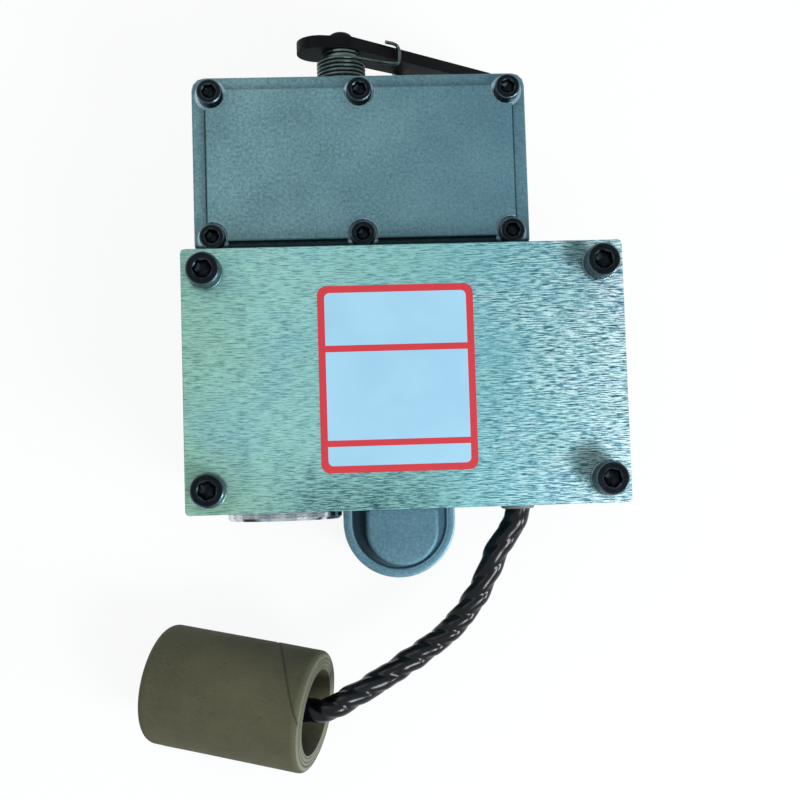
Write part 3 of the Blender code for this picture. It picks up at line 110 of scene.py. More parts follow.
class Value:
    """A node socket that takes part in Python arithmetic."""

    def __init__(self, graph: "Graph", socket: bpy.types.NodeSocket) -> None:
        """Keeps the socket with the graph that its maths nodes go into."""
        self.graph = graph
        self.socket = socket

    def _math(self, operation: str, *terms: "Value | float") -> "Value":
        """Adds one Math node over the given terms."""
        return self.graph.math(operation, *terms)

    def __add__(self, other: "Value | float") -> "Value":
        """Sum."""
        return self._math("ADD", self, other)

    __radd__ = __add__

    def __sub__(self, other: "Value | float") -> "Value":
        """Difference."""
        return self._math("SUBTRACT", self, other)

    def __rsub__(self, other: float) -> "Value":
        """Difference with the number first."""
        return self._math("SUBTRACT", other, self)

    def __mul__(self, other: "Value | float") -> "Value":
        """Product."""
        return self._math("MULTIPLY", self, other)

    __rmul__ = __mul__

    def __truediv__(self, other: "Value | float") -> "Value":
        """Quotient."""
        return self._math("DIVIDE", self, other)

    def __pow__(self, other: float) -> "Value":
        """Power."""
        return self._math("POWER", self, other)

    def __abs__(self) -> "Value":
        """Size without sign."""
        return self._math("ABSOLUTE", self)

    def least(self, other: "Value | float") -> "Value":
        """Smaller of the two."""
        return self._math("MINIMUM", self, other)

    def most(self, other: "Value | float") -> "Value":
        """Larger of the two."""
        return self._math("MAXIMUM", self, other)

    def sine(self) -> "Value":
        """Sine of the value in radians."""
        return self._math("SINE", self)

    def step(self, low: float, high: float) -> "Value":
        """Smooth rise from 0 at low to 1 at high.

        Args:
            low: value up to which the result is 0.
            high: value from which the result is 1.

        Returns:
            3 t^2 - 2 t^3, where t is the share of the way from low to high.
        """
        settings = {"interpolation_type": "SMOOTHSTEP"}
        inputs = {"Value": self, "From Min": low, "From Max": high}
        return self.graph.value("ShaderNodeMapRange", settings, inputs)


class Graph:
    """Node tree of one material, with a Principled shader at its end."""

    OBJECT_PLACE = 3  # output of a Texture Coordinate node
    STORED_NUMBER = 2  # output of an Attribute node
    FIRST_COLOUR, SECOND_COLOUR, MIXED_COLOUR = 6, 7, 2  # sockets of a Mix node

    def __init__(self, name: str) -> None:
        """Starts the material with its shader and output.

        Args:
            name: name of the material.
        """
        self.material = bpy.data.materials.new(name)
        self.material.use_nodes = True
        self.tree = self.material.node_tree
        self.tree.nodes.clear()
        self.shader = self.node("ShaderNodeBsdfPrincipled")
        output = self.node("ShaderNodeOutputMaterial")
        self.tree.links.new(self.shader.outputs[0], output.inputs["Surface"])

    def node(self, kind: str, settings: Settings = None, inputs: Inputs = None) -> bpy.types.Node:
        """Adds any node.

        Args:
            kind: the node's type.
            settings: its own options; "stops" fills a colour ramp.
            inputs: values or links of its sockets, by name or index.

        Returns:
            The new node.
        """
        made = self.tree.nodes.new(kind)
        for key, setting in (settings or {}).items():
            if key == "stops":
                self._fill_ramp(made.color_ramp, setting)
            else:
                setattr(made, key, setting)
        for key, given in (inputs or {}).items():
            if isinstance(given, Value):
                self.tree.links.new(given.socket, made.inputs[key])
            else:
                made.inputs[key].default_value = given
        return made

    @staticmethod
    def _fill_ramp(ramp: bpy.types.ColorRamp, stops: Sequence[tuple[float, Colour]]) -> None:
        """Sets a ramp's stops.

        Args:
            ramp: the ramp.
            stops: a place from 0 to 1 and a colour for each stop.
        """
        while len(ramp.elements) < len(stops):
            ramp.elements.new(0.5)
        for element, (place, colour) in zip(ramp.elements, stops):
            element.position = place
            element.color = (*colour, 1.0)

    def value(
        self, kind: str, settings: Settings = None, inputs: Inputs = None, output: int = 0
    ) -> Value:
        """Adds a node and returns one of its outputs for arithmetic."""
        return Value(self, self.node(kind, settings, inputs).outputs[output])

    def math(self, operation: str, *terms: Value | float) -> Value:
        """Adds one Math node."""
        return self.value("ShaderNodeMath", {"operation": operation}, dict(enumerate(terms)))

    def place(self, stretch: Point = (1, 1, 1), turn: Point = (0, 0, 0)) -> Value:
        """Object coordinates in millimetres, stretched and turned.

        Args:
            stretch: factor on each axis.
            turn: angles about the axes, in radians.

        Returns:
            The coordinates.
        """
        where = self.value("ShaderNodeTexCoord", output=self.OBJECT_PLACE)
        scale = tuple(MM_PER_METRE * s for s in stretch)
        inputs = {"Vector": where, "Scale": scale, "Rotation": turn}
        return self.value("ShaderNodeMapping", {"vector_type": "POINT"}, inputs)

    def axes(self) -> tuple[Value, Value, Value]:
        """The three object coordinates in millimetres."""
        split = self.node("ShaderNodeSeparateXYZ", None, {0: self.place()})
        return tuple(Value(self, socket) for socket in split.outputs)

    def noise(self, where: Value, scale: float, detail: float = 3, rough: float = 0.5) -> Value:
        """Cloudy noise from 0 to 1, scale in waves per millimetre."""
        inputs = {"Vector": where, "Scale": scale, "Detail": detail, "Roughness": rough}
        return self.value("ShaderNodeTexNoise", None, inputs)

    def cells(self, where: Value, scale: float) -> Value:
        """Distance to the nearest point of a random set."""
        inputs = {"Vector": where, "Scale": scale}
        return self.value("ShaderNodeTexVoronoi", {"feature": "F1"}, inputs)

    def plane(self, u: Value, v: Value) -> Value:
        """Coordinates made of two numbers, for a pattern over both."""
        return self.value("ShaderNodeCombineXYZ", None, {0: u, 1: v})

    def attribute(self, name: str) -> Value:
        """A number that the mesh stores at its points."""
        settings = {"attribute_name": name, "attribute_type": "GEOMETRY"}
        return self.value("ShaderNodeAttribute", settings, output=self.STORED_NUMBER)

    def mix(self, mask: Value | float, low: "Value | Colour", high: "Value | Colour") -> Value:
        """Mixes two colours.

        Args:
            mask: share of the second colour, 0 to 1.
            low: colour where the mask is 0.
            high: colour where the mask is 1.

        Returns:
            The mixed colour.
        """
        ends = [c if isinstance(c, Value) else (*c, 1.0) for c in (low, high)]
        inputs = {0: mask, self.FIRST_COLOUR: ends[0], self.SECOND_COLOUR: ends[1]}
        return self.value("ShaderNodeMix", {"data_type": "RGBA"}, inputs, self.MIXED_COLOUR)

    def ramp(self, mask: Value, stops: Sequence[tuple[float, Colour]]) -> Value:
        """Colour looked up along a ramp."""
        return self.value("ShaderNodeValToRGB", {"stops": stops}, {0: mask})

    def bump(self, height: Value, depth_mm: float) -> Value:
        """Normal of a surface raised by height times a depth in millimetres."""
        inputs = {"Height": height, "Distance": depth_mm * MM, "Strength": 1.0}
        return self.value("ShaderNodeBump", None, inputs)

    def dress(self, **sockets: object) -> bpy.types.Material:
        """Sets the shader's sockets.

        Args:
            sockets: values or links by socket, base_color for Base Color.

        Returns:
            The finished material.
        """
        for key, given in sockets.items():
            socket = self.shader.inputs[key.replace("_", " ").title().replace("Ior", "IOR")]
            if isinstance(given, Value):
                self.tree.links.new(given.socket, socket)
            elif isinstance(given, tuple):
                socket.default_value = (*given, 1.0)
            else:
                socket.default_value = given
        return self.material


def reach(u: Value, v: Value) -> Value:
    """Length of the vector whose parts are u and v."""
    return (u**2 + v**2) ** 0.5


def past_core(x: Value, y: Value, centre: Pair, half: Pair, corner: float) -> Value:
    """Distance from the core of a rounded rectangle.

    The core is the rectangle less its corner radius on every side, and the
    distance is the length of what sticks out of it in X and in Y. So it is 0
    in the core and the corner radius on the rounded outline.

    Args:
        x: first coordinate.
        y: second coordinate.
        centre: middle of the rectangle.
        half: half of its width and height.
        corner: its corner radius.

    Returns:
        The distance.
    """
    out_x = (abs(x - centre[0]) - (half[0] - corner)).most(0.0)
    out_y = (abs(y - centre[1]) - (half[1] - corner)).most(0.0)
    return reach(out_x, out_y)


# -------------------------------------------------------------------- finishes


@dataclass(frozen=True)
class CastAluminium:
    """Blasted die casting: a fine even grain, small glints and a few pits.

    Machined discs shine at the spot faces, painted shade lies round the foot
    of the panel, given by its centre and its half size, and what lies below a
    Y is in the shade of the plate beside it.
    """

    name: str = "cast_aluminium"
    dark: Colour = paint(74, 110, 118)
    light: Colour = paint(136, 174, 180)
    spot_faces: tuple[Pair, ...] = ()
    spot_radius: float = 6.2
    panel: tuple[Pair, Pair] | None = None
    panel_corner: float = 2.5
    shaded_below: float = -1000.0
    grain_depth: float = 0.14

    def make(self) -> bpy.types.Material:
        """Builds the finish.

        The colour follows a grain and a slow cloud, with glints and pits at
        random points, and grows darker and bluer towards +X as painted shade.
        Then come the painted shade round the panel's foot, the discs, the
        painted shade below a Y, and the painted groove shade and rim highlights
        that the mesh stores.

        Returns:
            The material.
        """
        g = Graph(self.name)
        where = g.place()
        cloud = g.noise(where, 0.045, 3, 0.5)
        grain = g.noise(where, 0.8, 6, 0.8)
        glints = 1 - g.cells(where, 0.9).step(0.08, 0.26)
        pits = 1 - g.cells(where, 0.31).step(0.04, 0.12)
        x, y, _ = g.axes()
        tone = grain * 0.78 + cloud * 0.22
        colour = g.mix(tone.step(0.28, 0.74), self.dark, self.light)
        colour = g.mix(glints * 0.2, colour, paint(176, 208, 208))
        colour = g.mix(pits * 0.5, colour, paint(50, 72, 80))
        # Painted shade: the casting grows darker and bluer towards +X.
        colour = g.mix(x.step(-70.0, 60.0) * 0.5, colour, paint(70, 112, 132))
        rough = 0.46 + grain * 0.2
        height = grain * 0.8 - pits * 0.9
        if self.panel:
            # Painted shade along the foot of the raised panel.
            colour = g.mix(self.panel_foot_shade(g, x, y), colour, paint(22, 44, 52))
        if self.spot_faces:
            rings = [reach(x - cx, y - cy) for cx, cy in self.spot_faces]
            nearest = reduce(lambda a, b: a.least(b), rings)
            milled = 1 - nearest.step(self.spot_radius - 0.1, self.spot_radius + 0.3)
            circles = (nearest * 14.0).sine() * 0.5 + 0.5
            bright = g.mix(circles, paint(150, 190, 204), paint(196, 226, 236))
            colour = g.mix(milled, colour, bright)
            rough = rough * (1 - milled) + milled * 0.3
            height = height * (1 - milled) + milled * circles * 0.3
        shaded = 1 - y.step(self.shaded_below - 0.5, self.shaded_below + 0.4)
        colour = g.mix(shaded * 0.9, colour, paint(14, 26, 32))
        # Painted shade that a mesh stores, as in the end cap's groove.
        colour = g.mix(g.attribute("groove_shade"), colour, paint(16, 36, 44))
        # Painted highlights that a mesh stores, as on the end cap's rims.
        colour = g.mix(g.attribute("wear_and_highlight"), colour, paint(196, 226, 238))
        return g.dress(
            base_color=colour,
            metallic=0.72,
            roughness=rough,
            normal=g.bump(height, self.grain_depth),
        )

    def panel_foot_shade(self, g: Graph, x: Value, y: Value) -> Value:
        """Painted shade that lies along the foot of the raised panel.

        It is a ragged band round the panel's rounded outline.

        Args:
            g: the graph that the nodes go into.
            x: first coordinate.
            y: second coordinate.

        Returns:
            How much painted shade a point gets.
        """
        off = past_core(x, y, *self.panel, self.panel_corner) - self.panel_corner
        ragged = g.noise(g.place(), 0.5, 3, 0.6)
        return (1 - abs(off - 0.35).step(0.25, 0.75)) * (0.45 + ragged * 0.7)


@dataclass(frozen=True)
class GroundZinc:
    """Zinc-plated steel ground along X, minty at one end, glittering at the other."""

    name: str = "ground_zinc_steel"
    half_width: float = 85.0
    half_height: float = 50.75
    long_scratch: Pair = (8.5, 0.5)
    short_scratch: Pair = (4.2, 0.36)
    scratch_depth: float = 0.07
    screw_shadows: tuple[Point, ...] = ((68.5, -33.5, 9.0), (67.0, 46.0, 7.0))

    def make(self) -> bpy.types.Material:
        """Builds the finish from rows of short scratches.

        A scratch is a patch of noise drawn out along X. The rows wander a
        little in Y, and their contrast grows towards the glittering end. The
        ground colour changes along X, with a greener corner, a darker middle
        of the lower edge and a few round painted shadows of the right-hand
        screws, each a place and a size.

        Returns:
            The material.
        """
        g = Graph(self.name)
        x, y, _ = g.axes()
        wander = g.noise(g.place((0.13, 0.3, 1.0)), 1.0, 3, 0.6)
        rows = y + wander * 0.6
        long_cuts = self.scratches(g, x, rows, self.long_scratch)
        short_cuts = self.scratches(g, x + 31.0, rows, self.short_scratch)
        cuts = long_cuts * 0.4 + short_cuts * 0.6
        cloud = g.noise(g.place((0.8, 1.0, 1.0)), 0.03, 3, 0.5)
        across = (x + self.half_width) / (2 * self.half_width) + (cloud - 0.5) * 0.4
        lively = across.step(0.52, 1.0)
        stops = [
            (0.0, paint(146, 196, 178)),
            (0.22, paint(152, 206, 200)),
            (0.5, paint(142, 200, 196)),
            (0.75, paint(112, 180, 192)),
            (1.0, paint(120, 184, 198)),
        ]
        tone = g.ramp(across, stops)
        blue = g.noise(g.place((1.0, 1.3, 1.0), (0.0, 0.0, 0.5)), 0.034, 2, 0.5)
        tone = g.mix(blue.step(0.5, 0.68) * (0.2 + lively * 0.4), tone, paint(96, 156, 196))
        corner = (x + self.half_width) * 0.5 + (y + self.half_height)
        tone = g.mix((1 - corner.step(4.0, 44.0)) * 0.4, tone, paint(146, 186, 146))
        low = (1 - y.step(-50.0, -22.0)) * (1 - abs(x + 18.0).step(8.0, 48.0))
        tone = g.mix(low * 0.55, tone, paint(84, 136, 134))
        dark = 1 - (cuts - low * 0.03).step(0.42, 0.51)
        tone = g.mix(dark * (0.56 + lively * 0.44 + low * 0.25), tone, paint(10, 58, 78))
        pale = g.mix(lively, paint(186, 230, 224), paint(232, 252, 250))
        lit = (cuts + lively * 0.015).step(0.5, 0.55)
        tone = g.mix(lit * (0.3 + lively * 0.7), tone, pale)
        # Painted shadows of the right-hand screws, falling up and to their left.
        for shadow_x, shadow_y, size in self.screw_shadows:
            off = reach(x - shadow_x, y - shadow_y)
            tone = g.mix((1 - off.step(size * 0.45, size * 1.1)) * 0.5, tone, paint(28, 66, 64))
        return g.dress(
            base_color=tone,
            metallic=0.8,
            roughness=0.4 + long_cuts * 0.16,
            normal=g.bump(cuts, self.scratch_depth),
        )

    @staticmethod
    def scratches(g: Graph, x: Value, y: Value, size: Pair) -> Value:
        """Noise drawn out along X, its patches about size millimetres long and wide."""
        return g.noise(g.plane(x / size[0], y / size[1]), 1.0, 4, 0.72)


@dataclass(frozen=True)
class DarkMetal:
    """Blackened or dark-painted steel whose edges are worn brighter."""

    name: str
    base: Colour
    worn: Colour
    rough: float = 0.36
    metallic: float = 0.7
    grain_mm: float = 0.03
    specular: float = 0.5

    def make(self) -> bpy.types.Material:
        """Builds the finish from the mesh's own wear value and noise.

        Returns:
            The material.
        """
        g = Graph(self.name)
        where = g.place()
        cloud = g.noise(where, 0.35, 4, 0.6)
        grain = g.noise(where, 3.0, 3, 0.6)
        wear_and_highlight = (g.attribute("wear") * (cloud * 0.7 + grain * 0.9)).step(0.35, 0.95)
        lighter = tuple(2.2 * c for c in self.base)
        colour = g.mix(cloud, self.base, lighter)
        return g.dress(
            base_color=g.mix(wear_and_highlight, colour, self.worn),
            metallic=self.metallic,
            roughness=self.rough + cloud * 0.16 - wear_and_highlight * 0.08,
            specular_ior_level=self.specular,
            normal=g.bump(grain, self.grain_mm),
        )


@dataclass(frozen=True)
class BareMetal:
    """Turned, drawn or plain bare metal with fine tool lines."""

    name: str
    dark: Colour
    light: Colour
    rough: float
    lines: Point = (0.4, 6.0, 0.4)
    lines_mm: float = 0.02
    axis: Pair | None = None

    def make(self) -> bpy.types.Material:
        """Builds the finish.

        Lines gives the waves per millimetre along X, Y and Z. With an axis,
        a line through that X and Z along Y, the tool marks are rings round
        it, noise over the distance from the axis and over Y alone, and the
        cloud is spokes of light, noise over the direction from the axis.

        Returns:
            The material.
        """
        g = Graph(self.name)
        if self.axis:
            x, y, z = g.axes()
            off_x, off_z = x - self.axis[0], z - self.axis[1]
            off = reach(off_x, off_z)
            tool = g.noise(g.plane(off * self.lines[0], y * self.lines[1]), 1.0, 3, 0.6)
            cloud = g.noise(g.plane(off_x / off * 3.0, off_z / off * 3.0), 1.6, 2, 0.5)
        else:
            tool = g.noise(g.place(self.lines), 1.0, 3, 0.6)
            cloud = g.noise(g.place(), 0.14, 4, 0.6)
        colour = g.mix((tool * 0.5 + cloud * 0.5).step(0.32, 0.7), self.dark, self.light)
        return g.dress(
            base_color=colour,
            metallic=1.0,
            roughness=self.rough + cloud * 0.16,
            normal=g.bump(tool, self.lines_mm),
        )


@dataclass(frozen=True)
class KraftPaper:
    """Spiral-wound grey-brown board with specks and fibres."""

    name: str = "kraft_paper"

    def make(self) -> bpy.types.Material:
        """Builds the board.

        The mesh stores "sawn_and_lit", which lightens the sawn ends as paler
        cut board and as painted light that is strongest on one side, "ply",
        which parts their layers, and "seam", which darkens the helix on the wall.

        Returns:
            The material.
        """
        g = Graph(self.name)
        where = g.place()
        cloud = g.noise(where, 0.045, 4, 0.6)
        fibre = g.noise(g.place((0.5, 1.8, 0.5), (0.3, 0.2, -0.4)), 1.1, 4, 0.7)
        specks = 1 - g.cells(where, 0.3).step(0.045, 0.12)
        colour = g.mix(cloud.step(0.25, 0.75), paint(68, 68, 47), paint(84, 82, 60))
        colour = g.mix(fibre.step(0.4, 0.75) * 0.4, colour, paint(98, 95, 72))
        colour = g.mix(specks * 0.7, colour, paint(40, 38, 26))
        # Sawn ends: paler cut board, with painted light strongest on one side.
        sawn_and_lit = g.attribute("sawn_and_lit")
        plies = g.attribute("ply")
        face = g.mix(plies, paint(72, 72, 54), paint(138, 138, 122))
        colour = g.mix(sawn_and_lit * 0.8, colour, face)
        colour = g.mix(g.attribute("seam") * 0.8, colour, paint(30, 29, 19))
        return g.dress(
            base_color=colour,
            metallic=0.0,
            roughness=0.78 + fibre * 0.15,
            normal=g.bump(fibre * 0.8 + cloud * 0.4 - specks * 0.4, 0.11),
        )


@dataclass(frozen=True)
class Plastic:
    """Moulded plastic, rubber or shrunk sleeve."""

    name: str
    base: Colour
    light: Colour
    rough: float
    grain: float = 1.2
    grain_mm: float = 0.03
    specular: float = 0.5

    def make(self) -> bpy.types.Material:
        """Builds the finish from a slow cloud and a fine grain.

        Returns:
            The material.
        """
        g = Graph(self.name)
        where = g.place()
        cloud = g.noise(where, 0.12, 4, 0.6)
        grain = g.noise(where, self.grain, 3, 0.55)
        colour = g.mix((cloud * 0.7 + grain * 0.3).step(0.35, 0.75), self.base, self.light)
        return g.dress(
            base_color=colour,
            roughness=self.rough + cloud * 0.14,
            specular_ior_level=self.specular,
            normal=g.bump(grain, self.grain_mm),
        )


@dataclass(frozen=True)
class LabelPrint:
    """Pale foil with a plain red frame and two red bars."""

    name: str
    centre: Pair
    half: Pair
    border: float
    corner: float
    bars: tuple[Pair, ...]
    softness: float = 0.06

    def make(self) -> bpy.types.Material:
        """Builds the print.

        The frame is where the distance to the label's rounded outline is less
        than the border, and a bar lies between two values of Y.

        Returns:
            The material.
        """
        g = Graph(self.name)
        x, y, _ = g.axes()
        edge = (-self.softness, self.softness)
        field = self.corner - self.border
        red = (past_core(x, y, self.centre, self.half, self.corner) - field).step(*edge)
        for low, high in self.bars:
            red = red.most((y - low).step(*edge) * (1 - (y - high).step(*edge)))
        where = g.place()
        cloud = g.noise(where, 0.04, 3, 0.5)
        grain = g.noise(where, 2.5, 2, 0.5)
        ground = g.mix(cloud.step(0.3, 0.7), paint(150, 196, 220), paint(158, 203, 226))
        ink = g.mix(grain, paint(192, 34, 46), paint(206, 46, 58))
        return g.dress(
            base_color=g.mix(red, ground, ink),
            roughness=0.45 + grain * 0.1,
            coat_weight=0.08,
            normal=g.bump(grain + red * 0.4, 0.012),
        )


Finish = CastAluminium | GroundZinc | DarkMetal | BareMetal | KraftPaper | Plastic | LabelPrint


# --------------------------------------------------------------------- meshes

POINT_SIZE = 1e-9
SAME_POINT = 1e-7
FINE_STEPS = 24  # points of a route's curve between two of its knots


@dataclass
class Skin:
    """Points, faces and stored numbers of a mesh that is being made."""

    points: Array
    quads: Array
    triangles: Array
    notes: dict[str, Array]

    def moved(self, where: Matrix) -> "Skin":
        """The same skin carried by a rigid transform.

        Args:
            where: the transform.

        Returns:
            The carried skin.
        """
        turn = np.array(where)
        points = self.points @ turn[:3, :3].T + turn[:3, 3]
        return Skin(points, self.quads, self.triangles, self.notes)


def wheel(columns: int) -> Array:
    """Even angles round a full turn, the first of them 0."""
    return np.linspace(0, 2 * np.pi, columns, endpoint=False)


def rays(angles: Array) -> Array:
    """Directions (cos a, sin a) at the given angles."""
    return np.stack([np.cos(angles), np.sin(angles)], axis=-1)


def rounded_rectangle(half: Sequence[float], corner: float, steps: int) -> Array:
    """Outline of a rounded rectangle round the origin.

    Each corner is a quarter circle round the point that lies one corner
    radius inside both of its sides.

    Args:
        half: half of its width and height.
        corner: its corner radius.
        steps: points on each corner.

    Returns:
        The points, anticlockwise from the right side's upper end.
    """
    quarter = np.radians(np.linspace(0, 90, steps))
    core = np.asarray(half) - corner
    signs = ((1, 1), (-1, 1), (-1, -1), (1, -1))
    return np.concatenate(
        [core * sign + corner * rays(quarter + k * np.pi / 2) for k, sign in enumerate(signs)]
    )


def capped(rows: Array, ends: Array | None = None) -> Array:
    """Closes a grid of points with a pole at each end.

    Args:
        rows: points, station by column by three.
        ends: the two poles, or none for the middles of the end rows.

    Returns:
        The rows with one more row of a single point before and after them.
    """
    if ends is None:
        ends = [rows[0].mean(axis=0), rows[-1].mean(axis=0)]
    first, last = (np.broadcast_to(end, rows[:1].shape) for end in ends)
    return np.concatenate([first, rows, last])


def rounded_grid(
    rows: Array, closed_rows: bool = False, notes: Mapping[str, Array] | None = None
) -> Skin:
    """Joins a grid of points that closes round its second parameter.

    A point of the grid is rows[i, j]; a face joins (i, j), (i, j + 1),
    (i + 1, j + 1) and (i + 1, j), with j taken round the circle. A first or
    last row of no size becomes one pole, with triangles round it.

    Args:
        rows: points, station by column by three.
        closed_rows: whether the last row joins the first again, as in a ring.
        notes: numbers to store, station by column.

    Returns:
        The closed skin.
    """
    stations, columns = rows.shape[:2]
    index = np.arange(stations * columns).reshape(stations, columns)
    after = np.roll(index, -1, axis=1)
    quads = np.stack([index[:-1], after[:-1], after[1:], index[1:]], axis=-1)
    if closed_rows:
        last = np.stack([index[-1], after[-1], after[0], index[0]], axis=-1)[None]
        quads = np.concatenate([quads, last])
    triangles = []
    size = np.abs(rows - rows.mean(axis=1, keepdims=True)).max(axis=(1, 2))
    if not closed_rows and size[0] < POINT_SIZE:
        triangles.append(quads[0][:, [0, 2, 3]] * [0, 1, 1] + [index[0, 0], 0, 0])
        quads = quads[1:]
    if not closed_rows and size[-1] < POINT_SIZE:
        triangles.append(quads[-1][:, [0, 1, 2]] * [1, 1, 0] + [0, 0, index[-1, 0]])
        quads = quads[:-1]
    fans = np.concatenate(triangles) if triangles else np.zeros((0, 3), int)
    flat = {key: np.asarray(value, float).reshape(-1) for key, value in (notes or {}).items()}
    return Skin(rows.reshape(-1, 3), quads.reshape(-1, 4), fans, flat)


def turned(
    profile: Sequence[Pair],
    columns: int,
    swell: Array | None = None,
    notes: Mapping[str, Array] | None = None,
    ring: bool = False,
) -> Skin:
    """Turns a profile round +Z.

    The point at station i and angle a is (r cos a, r sin a, z), with r and z
    from the profile's row and r scaled by the swell at that row and angle.

    Args:
        profile: radius and height of each station in millimetres, from the top down.
        columns: steps round the axis.
        swell: factors on the radius, station by column.
        notes: numbers to store, one a station or station by column.
        ring: whether the profile closes on itself, as a tube's does.

    Returns:
        The closed skin.
    """
    stations = np.asarray(profile, float) * MM
    radius = stations[:, :1] * (1.0 if swell is None else swell)
    radius = np.broadcast_to(radius, (len(stations), columns))
    height = np.broadcast_to(stations[:, 1:], radius.shape)
    rows = np.dstack([radius[..., None] * rays(wheel(columns)), height])
    spread = {
        key: np.broadcast_to(np.reshape(value, (len(stations), -1)), radius.shape)
        for key, value in (notes or {}).items()
    }
    return rounded_grid(rows[::-1], ring, {key: value[::-1] for key, value in spread.items()})


def carried(path: Array, section: Array, toward: Array) -> Skin:
    """Carries a cross-section along a path and closes both its ends.

    At each station the first axis is the part of the given direction that is
    square to the path, the second is square to both, and a point is the path
    point plus the section's two numbers times these axes.

    Args:
        path: points of the centreline.
        section: offsets, station by column by two, or column by two.
        toward: a direction for the first axis, one for all or one a station.

    Returns:
        The closed skin.
    """
    tangent = np.gradient(path, axis=0)
    tangent /= np.linalg.norm(tangent, axis=1, keepdims=True)
    first = toward - (toward * tangent).sum(axis=1, keepdims=True) * tangent
    first /= np.linalg.norm(first, axis=1, keepdims=True)
    second = np.cross(tangent, first)
    section = np.broadcast_to(section, (len(path), *section.shape[-2:]))
    rows = path[:, None] + section[..., :1] * first[:, None] + section[..., 1:] * second[:, None]
    return rounded_grid(capped(rows, path[[0, -1]]))


def joined(skins: Sequence[Skin]) -> Skin:
    """Puts several skins that store no numbers into one.

    Args:
        skins: the skins.

    Returns:
        One skin with all their points and faces.
    """
    starts = np.cumsum([0] + [len(s.points) for s in skins[:-1]])
    return Skin(
        np.concatenate([s.points for s in skins]),
        np.concatenate([s.quads + start for s, start in zip(skins, starts)]),
        np.concatenate([s.triangles + start for s, start in zip(skins, starts)]),
        {},
    )


def metres(*millimetres: float) -> tuple[float, ...]:
    """Numbers given in millimetres, in metres."""
    return tuple(number * MM for number in millimetres)


def stand(spot: Point, along: Along = Along.Z, turn: float = 0.0) -> Matrix:
    """Places a turned piece at a spot, standing along an axis, turned round it."""
    tilt = Matrix.Rotation(-math.pi / 2, 4, "X") if along is Along.Y else Matrix.Identity(4)
    return Matrix.Translation(spot) @ tilt @ Matrix.Rotation(turn, 4, "Z")


def even_route(knots: Sequence[Point], spacing: float) -> Array:
    """Even points on a smooth curve through the knots.

    Between two knots the curve is the cubic whose slope at each knot is half
    the step between its neighbours. The fine curve is then sampled again at
    equal lengths.

    Args:
        knots: points that the curve passes through.
        spacing: wanted distance between the points.

    Returns:
        The points, with the first and last knots at the ends.
    """
    given = np.asarray(knots, float)
    given = np.concatenate([2 * given[:1] - given[1:2], given, 2 * given[-1:] - given[-2:-1]])
    t = np.linspace(0, 1, FINE_STEPS, endpoint=False)[None, :, None]
    a, b, c, d = (given[i : len(given) - 3 + i, None] for i in range(4))
    fine = 0.5 * (
        2 * b
        + (c - a) * t
        + (2 * a - 5 * b + 4 * c - d) * t**2
        + (3 * b - a - 3 * c + d) * t**3
    )
    fine = np.concatenate([fine.reshape(-1, 3), given[-2:-1]])
    walked = along_path(fine)
    wanted = np.linspace(0, walked[-1], max(3, round(walked[-1] / spacing)) + 1)
    return np.stack([np.interp(wanted, walked, fine[:, k]) for k in range(3)], axis=1)


def along_path(path: Array) -> Array:
    """Length walked along a row of points up to each of them."""
    return np.concatenate([[0], np.cumsum(np.linalg.norm(np.diff(path, axis=0), axis=1))])


def arc_points(centre: Pair, radius: float, start: float, end: float, steps: int) -> Array:
    """Points on an arc of a profile, angles in degrees."""
    return np.asarray(centre) + radius * rays(np.radians(np.linspace(start, end, steps + 1)))


def show(name: str, data: bpy.types.ID) -> bpy.types.Object:
    """Puts new data into the scene, at the origin.

    Args:
        name: name of the object.
        data: its mesh, camera or lamp.

    Returns:
        The new object.
    """
    made = bpy.data.objects.new(name, data)
    bpy.context.scene.collection.objects.link(made)
    return made


